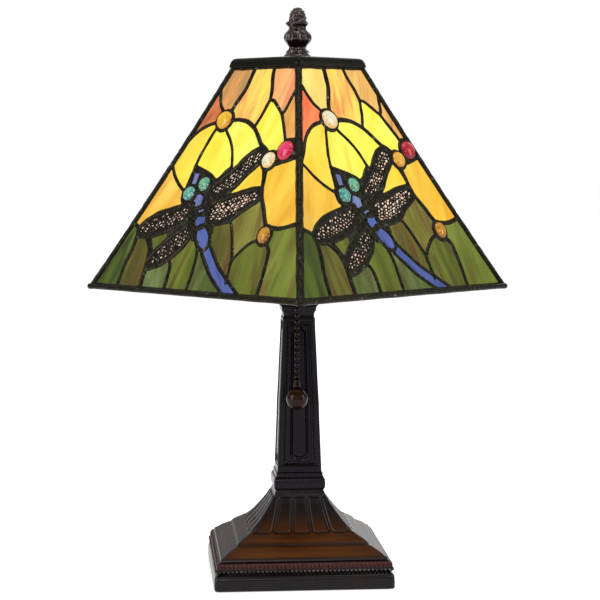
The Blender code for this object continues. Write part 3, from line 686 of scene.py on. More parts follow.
# Cuts in the glass that lie under wide solder, where two leads run side by side
CUTS = (
    ((28.5, 287), (34.5, 283)), ((3, 262), (3, 253)), ((3, 277.6), (10, 276)), ((1, 243), (0.4, 238.6)),
    ((0.9, 222.0), (-1.6, 225.6)), ((8.6, 230), (5.6, 230.4)), ((0.6, 221.4), (7.2, 228.4)),
    ((-48.6, 216.5), (-44.5, 214.5)), ((-38.5, 236.5), (-36.5, 229)), ((-16, 233), (-9.5, 233)),
    ((-30, 262), (-18, 264)), ((-12.5, 268), (-4, 268)), ((-30.2, 275.4), (-31.5, 262)),
)

# Each glass: main colour, streaks, veins and how many of them, its grain's direction and two lengths
GLASS_ROWS = (
    ("smoke_peach", (228, 158, 84), (164, 136, 88), (244, 166, 84), 0.7, 62, 30, 15),
    ("sunset", (248, 186, 92), (255, 222, 98), (234, 130, 80), 0.8, 70, 44, 12),
    ("peach", (248, 172, 108), (255, 196, 122), (230, 130, 96), 0.7, 76, 40, 12),
    ("cream_peach", (254, 216, 108), (255, 228, 128), (246, 176, 96), 0.5, 76, 44, 14),
    ("tan", (226, 162, 84), (240, 190, 104), (190, 126, 78), 0.7, 72, 34, 11),
    ("apricot", (236, 180, 96), (248, 200, 110), (226, 140, 80), 0.6, 72, 34, 12),
    ("ember", (208, 116, 66), (228, 148, 86), (168, 76, 48), 0.7, 50, 30, 9),
    ("flame", (248, 104, 62), (255, 140, 84), (222, 74, 50), 0.6, 56, 26, 10),
    ("lemon", (254, 240, 72), (254, 252, 110), (254, 220, 54), 0.75, 66, 60, 24),
    ("amber_yellow", (255, 216, 56), (255, 228, 84), (252, 190, 44), 0.6, 60, 56, 24),
    ("amber_deep", (253, 194, 52), (255, 212, 76), (246, 168, 44), 0.6, 80, 56, 22),
    ("golden", (250, 196, 66), (254, 210, 92), (240, 168, 48), 0.6, 56, 50, 20),
    ("olive", (88, 98, 26), (112, 122, 40), (84, 58, 28), 0.7, 88, 48, 12),
    ("olive_light", (114, 112, 38), (138, 136, 60), (108, 80, 42), 0.8, 88, 48, 12),
    ("olive_brown", (84, 80, 24), (106, 106, 36), (98, 58, 34), 0.9, 88, 50, 11),
    ("moss", (80, 96, 38), (120, 136, 80), (84, 72, 34), 0.6, 84, 44, 13),
    ("leaf", (62, 76, 20), (88, 110, 32), (42, 52, 24), 0.8, 76, 40, 13),
    ("field", (102, 116, 34), (132, 144, 56), (116, 88, 44), 0.8, 80, 46, 13),
    ("violet", (108, 114, 170), (124, 132, 180), (72, 72, 124), 0.5, 70, 24, 12),
    ("blue", (76, 94, 160), (92, 108, 176), (58, 72, 138), 0.6, -45, 30, 12),
    ("dark", (40, 34, 28), (50, 42, 34), (28, 24, 22), 0.3, 45, 20, 8),
    ("pearl", (255, 216, 190), (255, 230, 208), (248, 190, 160), 0.4, 25, 20, 10),
)

# The kind of each piece of glass, by a place inside it
SEEDS = {
    "smoke_peach": ((-20, 330),),
    "sunset": ((2, 326),),
    "peach": ((24, 330),),
    "tan": ((39.5, 309), (50.0, 293.9)),
    "ember": ((-34, 310),),
    "lemon": ((25, 305), (6, 293), (-14, 288)),
    "amber_yellow": ((-38, 290), (30, 270)),
    "golden": ((-55, 262),),
    "amber_deep": ((58, 262),),
    "leaf": ((-82, 215),),
    "olive_brown": ((-59, 210), (15, 230)),
    "olive": ((-46.5, 227.5), (-14, 208), (47, 212)),
    "moss": ((-36, 203), (4, 208)),
    "olive_light": ((35, 238),),
    "field": ((80, 218),),
    "violet": ((-27, 270), (-18, 256), (-12, 249)),
    "blue": ((-9.3, 242.4), (-2.6, 232), (18, 211.5)),
    "pearl": ((8, 270), (15, 252), (-45, 241), (-33, 222)),
}
# Pieces that another panel cut from a different sheet
OTHER_SHEETS = (
    {},
    {"smoke_peach": "cream_peach", "peach": "apricot", "ember": "flame"},
    {"peach": "cream_peach", "leaf": "moss"},
    {"smoke_peach": "apricot", "tan": "apricot"},
)


def blend(name, tint, streak, vein, veined, *grain):
    colours = {"tint": linear(tint), "streak": linear(streak), "vein": linear(vein)}
    return name, {**colours, "veined": veined, "grain": grain}


GLASSES = dict(blend(*row) for row in GLASS_ROWS)


def wing_ridge(outline):
    """The outline drawn in to the middle of its ridge."""
    line = smooth_line(outline, True, 1.4)
    inward = rightward(line, True)
    if not inside(line, *(line[0] + inward[0] * 0.5)):
        inward = -inward
    return line + inward * WING_EDGE


def cartoon(ridges):
    """Every lead line of the drawing, as its width, its points, and whether it is closed."""
    lines = [(width, smooth_line(points), False) for width, points in LINES]
    lines += [(width, straight_line([*corners, corners[0]], 1.0)[:-1], True) for width, corners in BODY]
    lines += [(width, smooth_line(ellipse(*oval), True, 1.0), True) for width, oval in OVALS]
    tail = smooth_line(TAIL)
    lines += [(TAIL_LEAD, tail + rightward(tail) * side * TAIL_WIDE, False) for side in (-1, 1)]
    lines += [(WING_LEAD, ridge, True) for ridge in ridges]
    rims = [ellipse(x, z, wide + JEWEL_EDGE, tall + JEWEL_EDGE) for _, x, z, wide, tall, _ in JEWELS]
    return lines + [(JEWEL_LEAD, rim, True) for rim in rims]


# ---------------------------------------------------------------- leads

LEAD_ROWS, LEAD_COLUMNS = 190, 232
LEAD_LOW, LEAD_HIGH = 197.2, 343.4
EDGE_LOW, EDGE_HIGH = 198.0, 343.2  # the middles of the leads along the rim and the top
BEAD, INNER_BEAD = 1.15, 0.8  # how far leads stand out of the glass, outside and inside
FILLET = 0.2  # the size of the curve where two beads meet
SUNK = 0.5  # how far a lead's edge goes down beside the glass
WIDE_LEAD = 4.5  # a lead this wide is flatter across
EDGE_WIDTH = 2.4
SIDE_INSET, SIDE_WIDTH = (1.7, 0.9), (4.0, 2.0)  # of the leads along a full and along a thin hip
MOST_REACH = 4.0  # past a lead's box, beyond which its bead isn't worked out
DEEPEST = -1.5  # where a bead's fall beside its lead stops


def fillet(distance, width, tall=BEAD):
    """A rounded bead across its line, as its share of the smooth union of all beads."""
    share = distance / (width / 2)
    height = tall * (1 - share ** np.where(width < WIDE_LEAD, 2.0, 3.0))
    return np.exp(np.maximum(height, DEEPEST) / FILLET)


def lead_field(index, lines, x, z):
    """How far the solder stands above the glass at each place."""
    cx = x + cartoon_shift(index, z)
    wobble = 1 + 0.10 * ripple(x, z, 9.0, 11 + index)
    total = np.zeros(x.shape)
    for width, line, closed in lines:
        (left, low), (right, high) = line.min(0) - MOST_REACH, line.max(0) + MOST_REACH
        near = (cx > left) & (cx < right) & (z > low) & (z < high)
        if near.any():
            total[near] += fillet(distance_to(line, cx[near], z[near], closed), width * wobble[near])
    thin = (x * outer_side(index) > 0).astype(int)
    side = shade_half(z) - np.take(SIDE_INSET, thin) - np.abs(x)
    for distance, width in (
        (side, np.take(SIDE_WIDTH, thin)), (z - EDGE_LOW, EDGE_WIDTH), (EDGE_HIGH - z, EDGE_WIDTH),
    ):
        total += fillet(np.abs(distance), width * wobble, BEAD * 0.9)
    height = FILLET * np.log(np.maximum(total, 1e-9))
    lumps = 0.07 * ripple(x, z, 5.0, 31 + index) + 0.025 * ripple(x, z, 2.1, 51 + index)
    height = np.where(height > 0, height * (1 + lumps * 1.4), height)
    return np.minimum(height, BEAD * 1.35)


def add_leads(index, lines, material):
    """One relief of solder on both faces of the panel, cut away where glass shows."""
    z = np.linspace(LEAD_LOW, LEAD_HIGH, LEAD_ROWS)[:, None] + np.zeros((1, LEAD_COLUMNS))
    x = np.linspace(-1, 1, LEAD_COLUMNS) * (shade_half(z) - 0.9)
    height = lead_field(index, lines, x, z)
    inner = np.minimum(height / BEAD, 1.1) * INNER_BEAD
    outer_points = on_panel(x, z, GLASS_OUT + np.maximum(height, -SUNK)).reshape(-1, 3)
    inner_points = on_panel(x, z, GLASS_IN - np.maximum(inner, -SUNK)).reshape(-1, 3)
    kept = height > -SUNK * 0.6
    cell = kept[:-1, :-1] | kept[1:, :-1] | kept[:-1, 1:] | kept[1:, 1:]
    outer = np.array(grid_faces(*x.shape))[cell.ravel()]
    faces = np.array(sheet_faces(outer.tolist(), x.size))
    used, faces = np.unique(faces, return_inverse=True)
    points = np.concatenate((outer_points, inner_points))[used]
    build = Mesher().add(points, faces.reshape(-1, 4))
    build.piece(f"solder_{SIDES[index]}", material, "shade", slot="lead", turn=panel_turn(index))


# ---------------------------------------------------------------- glass

BORDER_INSET = (2.2, 1.3)  # of the glass from a full and from a thin hip
FILL_ROWS = np.arange(205, 340, 11.0)  # the heights of the points added inside the pieces
OVERRUN = 2.6  # how far a cut runs on under the lead that it meets
SETBACK = 0.12  # of the glass's faces from the panel's, and the most that its tilt lifts it
TILT = 0.006


def panel_border(index):
    """The glass's edge, round from its lower right corner."""
    zs = np.linspace(EDGE_LOW, EDGE_HIGH, 14)
    inset = {outer_side(index): BORDER_INSET[1], -outer_side(index): BORDER_INSET[0]}
    right, left = (np.stack((side * (shade_half(zs) - inset[side]), zs), 1) for side in (1, -1))
    return np.concatenate((right, left[::-1]))


def cut_line(line, closed):
    """Every second point of a line, and both ends of an open one carried straight on."""
    kept = line[::2]
    if closed:
        return kept
    if len(line) % 2 == 0:
        kept = np.concatenate((kept, line[-1:]))
    first, last = kept[0] - kept[1], kept[-1] - kept[-2]
    first, last = first / np.linalg.norm(first), last / np.linalg.norm(last)
    return np.concatenate((kept[:1] + first * OVERRUN, kept, kept[-1:] + last * OVERRUN))


def cut_panel(index, lines):
    """The panel cut along its leads: points, triangles, and each triangle's piece."""
    border = panel_border(index)
    points, edges = [], []
    cuts = [(shifted(index, cut_line(line, closed)), closed) for _, line, closed in lines]
    for line, closed in [(border, True), *cuts]:
        start, count = len(points), len(line)
        points += [tuple(p) for p in line]
        edges += [(start + i, start + (i + 1) % count) for i in range(count if closed else count - 1)]
    for z in FILL_ROWS:
        reach = shade_half(z) - 7
        points += [(x, z) for x in np.linspace(-reach, reach, max(3, int(reach / 6)))]
    result = geometry.delaunay_2d_cdt([Vector(p) for p in points], edges, [], 0, 1e-4)
    verts, triangles = np.array([tuple(v) for v in result[0]]), np.array(result[2])
    fixed = {tuple(sorted(edge)) for edge, source in zip(result[1], result[4]) if source}
    triangles = triangles[inside(border, *verts[triangles].mean(1).T)]
    return verts, triangles, pieces_of(triangles, fixed)


def pieces_of(triangles, fixed):
    """Each triangle's piece: triangles that meet across an edge that isn't a lead line share one."""
    owner = {}
    parent = list(range(len(triangles)))

    def root(i):
        while parent[i] != i:
            parent[i] = parent[parent[i]]
            i = parent[i]
        return i

    for t, corners in enumerate(triangles.tolist()):
        for a, b in zip(corners, corners[1:] + corners[:1]):
            edge = (min(a, b), max(a, b))
            if edge in fixed:
                continue
            if edge in owner:
                parent[root(t)] = root(owner[edge])
            owner[edge] = t
    return np.array([root(t) for t in range(len(triangles))])


def piece_kinds(index, verts, triangles, label):
    """The kind of glass of each piece, from the seed that lies in it."""
    kinds = {}
    a, b, c = np.moveaxis(verts[triangles], 1, 0)
    for kind, (x, z) in ((kind, place) for kind, places in SEEDS.items() for place in places):
        p = np.array((x - float(cartoon_shift(index, z)), z))
        side = np.array([np.cross(q - o, p - o) for o, q in ((a, b), (b, c), (c, a))])
        hit = np.nonzero((side >= 0).all(0) | (side <= 0).all(0))[0]
        if len(hit):
            kinds[label[hit[0]]] = OTHER_SHEETS[index].get(kind, kind)
    return kinds


def add_glass(index, lines, material):
    """Each piece of glass on its own, tilted a little, with its own colours and grain."""
    side = SIDES[index]
    verts, triangles, label = cut_panel(index, lines)
    kinds = piece_kinds(index, verts, triangles, label)
    build = Mesher()
    rng = random.Random(40 + index)
    for piece in sorted(set(label.tolist())):
        kind = dict(GLASSES[kinds.get(piece, "dark")])
        used, faces = np.unique(triangles[label == piece], return_inverse=True)
        flat, faces = verts[used], faces.reshape(-1, 3)
        a, b, c = flat[faces[0]]
        if np.cross(b - a, c - a) < 0:
            faces = faces[:, ::-1]
        tilt = np.array([rng.uniform(-TILT, TILT), rng.uniform(-TILT, TILT)])
        lift = np.clip((flat - flat.mean(0)) @ tilt, -SETBACK, SETBACK)
        points = [on_panel(*flat.T, out) for out in (GLASS_OUT - SETBACK + lift, GLASS_IN + SETBACK)]
        flow = np.tile(grain_coordinates(flat, kind.pop("grain"), rng), (2, 1))
        build.add(points, sheet_faces(faces.tolist(), len(used)), flow=flow, **kind)
    stands_for, turn = (f"glass_panel_{side}",), panel_turn(index)
    build.piece(f"art_glass_{side}", material, "shade", stands_for, "art_glass", turn, smooth=False)


def grain_coordinates(flat, grain, rng):
    """Coordinates that run slowly along the glass's grain and fast across it."""
    degrees, long, wide = grain
    along, across = turned(flat, -(degrees + rng.uniform(-4, 14))).T
    return np.stack((along / long, across / wide, np.full(len(flat), rng.uniform(0, 60))), 1)


# ---------------------------------------------------------------- metal lace on the wings

LACE_TOP, HOLE_TOP, LACE_FOOT = 0.30, 0.22, -0.15
CELL_LONG, CELL_TALL = 2.9, 1.8
LACE_EDGE, LACE_FADE = 1.3, 1.2  # the solid metal beside a ridge, and the width over which holes grow from it
HOLE_WIDE, HOLE_TALL = 0.45, 0.44  # a full hole's halves, as shares of its cell
HOLE_SIZES, LEAST_HOLE = (0.6, 1.16), 0.22
HOLE_SHEAR, HOLE_STRAY = 0.28, (0.2, 0.12)
FILLED = 0.12  # how often a cell has no hole, the more so the less open the lace is
HOLE_STEPS = 12


def add_lace(index, ridges, material):
    build, faces = Mesher(), lace_faces()
    for number, (ridge, (openness, _)) in enumerate(zip(ridges, WINGS)):
        for rim, hole in lace_cells(ridge, openness, random.Random(70 + 10 * index + number)):
            rim = shifted(index, rim)
            points = on_panel(*rim.T, LACE_TOP)
            if hole is None:
                build.add(points, [range(6)])
                continue
            hole = shifted(index, hole)
            points = np.concatenate((points, on_panel(*hole.T, HOLE_TOP), on_panel(*hole.T, LACE_FOOT)))
            build.add(points, faces)
    build.piece(f"wing_lace_{SIDES[index]}", material, "shade", slot="lead", turn=panel_turn(index))


def lace_cells(ridge, openness, rng):
    """Staggered rows of cells: each one's six-sided rim, and its oval hole or None."""
    middle = ridge.mean(0)
    along = np.linalg.svd(ridge - middle, full_matrices=False)[2][0]
    axes = np.stack((along, (-along[1], along[0])))
    local = (ridge - middle) @ axes.T
    low, high = local.min(0), local.max(0)
    columns, rows = ((high - low) / (CELL_LONG, CELL_TALL)).astype(int) + 2
    for row, column in ((r, c) for r in range(rows) for c in range(columns)):
        centre = low + ((column + 0.5 * (row % 2)) * CELL_LONG, row * CELL_TALL)
        place = middle + centre @ axes
        if not inside(ridge, *place):
            continue
        grown = np.clip((distance_to(ridge, *place, True) - LACE_EDGE) / LACE_FADE, 0, 1)
        swell = 0.5 + 0.5 * ripple(*place, 11.0, 201)
        size = openness * rng.uniform(*HOLE_SIZES) * (0.85 + 0.35 * swell) * grown
        filled = rng.random() < FILLED * (1.3 - openness)
        rim = warped(middle + (centre + hexagonal(CELL_LONG / math.sqrt(3), CELL_TALL / 1.5)) @ axes)
        if filled or size < LEAST_HOLE:
            yield rim, None
            continue
        hole = hexagonal(HOLE_WIDE * size * CELL_LONG, HOLE_TALL * size * CELL_TALL, HOLE_STEPS)
        hole[:, 1] += hole[:, 0] * rng.uniform(-HOLE_SHEAR, HOLE_SHEAR)
        hole += centre + [rng.uniform(-stray, stray) for stray in HOLE_STRAY]
        yield rim, warped(middle + hole @ axes)


def hexagonal(wide, tall, count=6):
    """Points round an oval, placed so that six of them make a hexagon that stands on a corner."""
    angles = round_angles(count) + math.radians(30)
    return np.stack((wide * np.cos(angles), tall * np.sin(angles)), 1)


def warped(flat):
    """Pushed about a little, so that the lace's rows wander."""
    return flat + 0.5 * np.stack((ripple(*flat.T, 6.5, 211), ripple(*flat.T, 6.5, 212)), 1)


def lace_faces():
    """A cell's faces: from the rim's six points in to the hole's, and down the hole's wall."""
    faces = []
    for k in range(HOLE_STEPS):
        n = (k + 1) % HOLE_STEPS
        faces.append(tuple(dict.fromkeys((6 + k, k // 2, n // 2, 6 + n))))
        faces.append((6 + k, 6 + n, 6 + HOLE_STEPS + n, 6 + HOLE_STEPS + k))
    return faces


# ---------------------------------------------------------------- jewels

# Each jewel's colours: at its edge, at its middle, and of the glints in it
JEWEL_COLOURS = {
    "amber_upper": ((222, 148, 6), (255, 214, 40), (255, 248, 160)),
    "red": ((112, 0, 12), (214, 6, 40), (255, 150, 160)),
    "amber_middle": ((206, 120, 6), (252, 200, 50), (255, 246, 200)),
    "amber_lower": ((132, 74, 0), (228, 160, 8), (255, 238, 140)),
    "eye_left": ((12, 92, 92), (84, 188, 168), (226, 250, 226)),
    "eye_right": ((16, 92, 76), (104, 198, 148), (232, 250, 224)),
    "pale": ((238, 190, 90), (255, 254, 236), (255, 255, 255)),
    "pink": ((196, 0, 48), (252, 52, 116), (255, 176, 190)),
}
PALE_JEWELS = {
    ("amber_upper", 1): "pale", ("amber_middle", 0): "pale", ("amber_middle", 3): "pale", ("red", 0): "pink",
}
JEWEL_BACK = GLASS_OUT - GLASS_IN + 1.2  # how far a jewel's back lies under the glass's outer face
JEWEL_TILT, EYE_GLINTS, GLINTS = 12, 0.9, 0.22
DOME_RINGS = 9


def dome(up, down, steps=30):
    """A round cabochon of radius 1, high in front and shallow behind, with each point's depth."""
    slopes = [math.pi / 2 * r / DOME_RINGS for r in range(DOME_RINGS + 1)]
    back = [(math.sin(slope), -down * math.cos(slope)) for slope in slopes[2:-1:2]]
    front = [(math.sin(slope), up * math.cos(slope)) for slope in slopes[:0:-1]]
    points, faces = lathe([(0, -down), *back, *front, (0, up)], steps)
    z = points[:, 2]
    return points, faces, np.where(z < 0, -z / down, np.maximum(z / up, 0) ** 0.8)


def add_jewels(index, material):
    side = SIDES[index]
    rng = random.Random(90 + index)
    for name, x, z, wide, tall, up in JEWELS:
        points, faces, depth = dome(up, JEWEL_BACK)
        points = points * (wide, tall, 1)
        px, pz, _ = turned(points, rng.uniform(-JEWEL_TILT, JEWEL_TILT)).T
        cx = x - float(cartoon_shift(index, z))
        # painted light: each jewel lighter towards its top and its left side
        light = np.clip(0.5 + 0.5 * (pz / tall * 0.6 - px / wide * 0.3), 0, 1)
        low, high, spark = (linear(c) for c in JEWEL_COLOURS[PALE_JEWELS.get((name, index), name)])
        eye = name.startswith("eye")
        build = Mesher().add(
            on_panel(cx + px, z + pz, GLASS_OUT + points[:, 2]),
            faces,
            tint=low,
            streak=high,
            vein=spark,
            veined=EYE_GLINTS if eye else GLINTS,
            depth=0.65 * depth + 0.35 * light,
            flow=points / 4 + (rng.uniform(0, 30), 0, 0),
        )
        stands_for = () if eye else (f"jewel_{name}_{side}",)
        slot = "art_glass" if eye else "red_glass" if name == "red" else "amber_glass"
        build.piece(f"gem_{name}_{side}", material, "shade", stands_for, slot, panel_turn(index))


# ---------------------------------------------------------------- swept solder: hips, rim

HIP_LOW, HIP_HIGH, HIP_ROWS = 196.8, 343.6, 240
# A hip bead's radius, and how far out its middle stands from the corner of the glass
THIN_HIP, FULL_HIP = (1.6, 0.1), (2.1, -0.25)
RIM_BEAD, RIM_REACH, RIM_CORNER, RIM_STEPS = 1.7, 100.2, 2.2, 70
BEAD_STEPS = 16  # points round a bead of solder


def add_hips(material):
    z = np.linspace(HIP_LOW, HIP_HIGH, HIP_ROWS)
    angle = np.arange(BEAD_STEPS) * 2.0
    for index, corner in enumerate(CORNERS):
        radius, out = THIN_HIP if corner in ("left", "right") else FULL_HIP
        reach = shade_half(z) + out
        lumps = 0.08 * ripple(z[:, None], angle, 7.0, 101 + index)
        lumps = lumps + 0.05 * ripple(z[:, None], angle * 2, 3.1, 121 + index)
        build = Mesher().add(*tube(np.stack((reach, -reach, z), 1), radius * (1 + lumps), BEAD_STEPS))
        stands_for = (f"hip_came_{corner}",)
        build.piece(f"hip_solder_{corner}", material, "shade", stands_for, "lead", panel_turn(index))


def add_rim(material):
    x, y = square_path(RIM_REACH, RIM_CORNER, RIM_STEPS).T
    place, angle = np.arange(len(x))[:, None], np.arange(BEAD_STEPS)
    lumps = 0.045 * ripple(place, angle * 1.5, 9.0, 7) + 0.03 * ripple(place, angle * 3, 3.7, 8)
    fuller = np.where(np.abs(np.abs(x) - np.abs(y)) < 5, 1.13, 1.0)[:, None]
    path = np.stack((x, y, np.full(len(x), RIM_Z + 0.9)), 1)
    build = Mesher().add(*tube(path, RIM_BEAD * (1 + lumps) * fuller, BEAD_STEPS, closed=True))
    build.piece("rim_solder", material, "shade", ("bottom_rim",), "lead", SHADE_TURN)


def square_path(half, corner, per_side):
    """A square with rounded corners, counterclockwise."""
    centre = half - corner
    side = [(half, y) for y in np.linspace(-centre, centre, per_side)]
    bend = np.radians((15, 30, 45, 60, 75))
    side += [(centre + corner * math.cos(a), centre + corner * math.sin(a)) for a in bend]
    return np.concatenate([turned(side, 90 * k) for k in range(4)])


# ---------------------------------------------------------------- square castings


def casting(outline, per_side, corner, detail):
    """A square casting with a ring at each (half, z) of its outline, pushed out by detail(x, z, half).

    Gives its points and faces, and each point's push, half and height."""
    outline = np.asarray(outline, float)
    rings, pushes = [], []
    for (half, z), (out, up) in zip(outline, rightward(outline)):
        x = np.linspace(-1, 1, per_side, endpoint=False) * half
        push = detail(x, z, half) * np.clip((half - np.abs(x)) / 2.0, 0, 1)
        bend = min(corner, half * 0.5)
        past = np.clip((np.abs(x) - (half - bend)) / bend, 0, 1)
        turn = past * math.pi / 4
        px = np.where(past > 0, np.sign(x) * (half - bend + bend * np.sin(turn)), x)
        py = half - bend + bend * np.cos(turn)
        side = np.stack((px, -(py + push * out), z + push * up), 1)
        rings += [turned(side, 90 * k) for k in range(4)]
        pushes += [push] * 4
    faces = grid_faces(len(outline), 4 * per_side, wrap=True)
    return np.concatenate(rings), faces, np.concatenate(pushes), *np.repeat(outline, 4 * per_side, axis=0).T


def plain(x, z, half):
    return np.zeros(x.shape)


def mound(a, b):
    """A round mound, 1 high in its middle and 0 at a distance of 1."""
    return np.sqrt(np.maximum(0.0, 1 - a**2 - b**2))


def arch(z, low, high):
    """Rises from 0 at low to 1 midway, and falls to 0 again at high."""
    return math.sin(math.pi * min(max((z - low) / (high - low), 0.0), 1.0))


def cove(past, wide):
    """Runs smoothly from 0 to 1 across a step of this width."""
    t = np.clip(past / wide + 0.5, 0, 1)
    return t * t * (3 - 2 * t)


# ---------------------------------------------------------------- the foot

SKIRT = (
    (56.9, 0.35), (58.9, 0.4), (59.6, 1.4), (59.6, 5.0), (59.4, 8.2), (59.0, 9.4), (58.2, 10.3),
    (57.4, 10.8), (57.0, 11.5),
)
BAND = ((57.0, 11.5), (57.6, 12.0), (58.4, 12.5), (58.3, 15), (57.9, 17.2), (56.9, 18.9), (55.4, 19.4))
STEPS = (
    (55.4, 19.4), (55.2, 20.2), (54.9, 20.9), (53.3, 21.7), (50, 24.2), (45.6, 26.7), (44.2, 27.1),
    (43.4, 28.2), (42.6, 29.3), (40.4, 30.9), (36.6, 33.1), (33.2, 35.2),
)
FLARE = ((33.2, 35.2), (28.6, 39.8), (23.9, 45.8), (20.4, 50.8), (18.6, 54.0), (17.2, 56.4), (16.4, 58.2))
FOOT_HOLLOW = (
    (15.4, 58.2), (16.2, 56.0), (18.0, 51.0), (26.0, 40.0), (40.0, 29.0), (52.0, 22.0), (55.2, 15.0),
    (56.9, 0.35),
)
# How far the dark lacquer is rubbed through to brown, with painted bulb light, at each height
LAMPLIT_RUB_Z = (11.0, 18.8, 20.9, 21.8, 26.4, 27.3, 28.6, 29.4, 34.0, 38.5, 43.0, 49.0)
LAMPLIT_RUB_SHARE = (0.0, 0.1, 0.05, 0.9, 0.9, 0.1, 0.2, 0.75, 0.65, 0.42, 0.16, 0.0)
TONGUE_LOW, TONGUE_HIGH = 34.2, 55.5
PITCH = 2.8  # of the gadroons and of the beads under them
BEADS_MIDDLE, BEADS_HALF = 13.3, 1.2
BEADS_TOP, BEADS_GLINT_LOW = 14.7, 12.9  # the fillet over the beads, and how far down their wear and painted glints reach
RED_TOP, GLOSS_TOP = 19.0, 11.6  # of the red in the gadroons, and of the skirt's gloss
GADROON_LOW, GADROON_HIGH = 14.9, 18.9


def tongues(x, z, half):
    """Narrow grooves round five round-ended tongues that fan down the flare."""
    if not TONGUE_LOW - 3 < z < TONGUE_HIGH + 2:
        return np.zeros(x.shape)
    spread = 0.4 + 0.6 * half / 33.2
    pitch, wide, corner = 12.7 * spread, 5.3 * spread, 1.9
    slot = np.clip(np.round(x / pitch), -2, 2)
    across = np.abs(x - slot * pitch) - (wide - corner)
    along = 1.3 * max(TONGUE_LOW - z, z - TONGUE_HIGH) + corner
    outside = np.hypot(np.maximum(across, 0), max(along, 0.0))
    edge = outside + np.minimum(np.maximum(across, along), 0) - corner
    return -0.75 * np.exp(-((edge / 0.6) ** 2)) + 0.25 * np.clip(-edge / 1.2, 0, 1)


def band_detail(x, z, half):
    """A row of upright gadroons above a row of small beads."""
    phase = np.mod(x / PITCH + 0.5, 1.0) * 2 - 1
    if abs(z - BEADS_MIDDLE) < BEADS_HALF:
        return 1.5 * mound(phase / 0.85, (z - BEADS_MIDDLE) / BEADS_HALF) - 0.7
    rounded = 1.3 * np.sqrt(np.maximum(0.0, 1 - np.abs(phase) ** 1.6)) - 0.75
    return arch(z, GADROON_LOW, GADROON_HIGH) ** 0.4 * rounded - 0.5


def add_foot(material):
    """The foot in rings: its skirt, the beaded band, the steps, the flare, and the cavity inside."""
    build = Mesher()
    for outline, per_side, corner, detail in (
        (straight_line(SKIRT, 0.8), 40, 1.6, plain),
        (straight_line(BAND, 0.30), 340, 1.4, band_detail),
        (straight_line(STEPS, 0.7), 120, 1.3, tongues),
        (straight_line(FLARE, 0.5), 150, 1.1, tongues),
        (FOOT_HOLLOW, 24, 1.2, plain),
    ):
        banded, hidden = detail is band_detail, outline is FOOT_HOLLOW
        points, faces, push, half, z = casting(outline, per_side, corner, detail)
        x, y = np.abs(points[:, 0]), np.abs(points[:, 1])
        # painted light and rubbing: fullest in each face's middle, more on the front and back faces than on
        # the sides
        rub = np.clip(1.25 - 0.75 * (np.minimum(x, y) / half) ** 2, 0, 1) * np.where(y > x, 1.0, 0.45)
        beads = banded & (z < BEADS_TOP)
        build.add(
            points,
            faces,
            rub=rub * np.interp(z, LAMPLIT_RUB_Z, LAMPLIT_RUB_SHARE),
            red=np.where(banded & (z > BEADS_TOP) & (z < RED_TOP), 0.75, 0.0),
            # painted shade: darker the deeper a point is sunk, and all dark on the inner wall
            hollow=np.clip(-push / (0.62 if banded else 0.7), 0, 1) ** 0.8 + hidden,
            gloss=np.where(beads, 1.0, np.where(z < GLOSS_TOP, 0.4, 0.0)),
            # painted glints: on the beads' crests above this height, the further a point stands out the more
            worn=np.where(beads & (z > BEADS_GLINT_LOW), np.clip(push / 0.6, 0, 1), 0.0),
        )
    build.piece("foot_relief", material, "stand", ("foot_casting",), "bronze_brown")


# ---------------------------------------------------------------- column, collar, capital and cap

COLUMN = (
    (15.0, 71.3), (15.0, 72.0), (14.75, 78.0), (14.2, 93), (13.7, 106), (13.4, 118), (12.75, 130),
    (12.35, 140), (11.8, 153), (11.1, 168), (10.9, 175.8),
)
COLUMN_RUNS = ((71.3, 80, 26), (80.8, 169, 96), (169.6, 175.8, 20))  # its rings' heights and how many
PANEL_LOW, PANEL_HIGH = 75.6, 173.6
COLLAR = (
    (15.4, 57.0), (16.3, 57.3), (16.7, 58.0), (16.4, 58.8), (16.3, 59.5), (16.9, 60.1), (17.3, 61.3),
    (17.4, 63.5), (17.3, 66.0), (16.9, 67.3), (16.1, 68.2), (15.7, 69.2), (15.7, 70.0), (15.9, 70.6),
    (15.5, 71.1), (13.0, 71.2),
)
CAPITAL = (
    (9.9, 175.9), (10.5, 176.1), (10.3, 177.6), (10.5, 178.9), (10.9, 180.0), (11.5, 180.6), (11.6, 181.8),
    (11.7, 183.0), (12.4, 184.0), (13.6, 185.3), (14.2, 186.3), (14.4, 187.2), (14.4, 189.0), (14.2, 189.4),
    (13.0, 189.5),
)
CAP = (
    (31.8, 343.55), (32.8, 343.6), (33.0, 344.2), (32.9, 345.2), (32.6, 346.4), (32.1, 347.8), (31.4, 349.0),
    (30.2, 349.8), (28.6, 350.1), (18.4, 350.5), (17.9, 350.65), (4.2, 350.7), (4.2, 349.7), (17.0, 349.5),
    (28.0, 348.9), (30.2, 347.8), (31.1, 346.0), (31.8, 343.55),
)


def column_detail(x, z, half):
    """A sunk stepped frame on each face, with a long round-ended panel standing in it."""
    scale = half / 13.8
    inward = half - np.abs(x)
    ends = min(z - PANEL_LOW, PANEL_HIGH - z)
    depth = -0.7 * cove(np.minimum(inward - 1.9 * scale, ends), 0.9)
    depth -= 1.3 * cove(np.minimum(inward - 4.2 * scale, ends - 1.2), 1.1)
    depth += 0.5 * cove(np.minimum(inward - 5.9 * scale, ends - 2.8), 0.8)
    wide = 0.37 * half
    beyond = max(0.0, PANEL_LOW + 5.0 + wide - z, z - (PANEL_HIGH - 4.0 - wide))
    edge = wide - np.hypot(x, beyond)
    return depth - 0.9 * np.exp(-((edge / 0.7) ** 2)) + 1.1 * cove(edge - 0.7, 1.2)


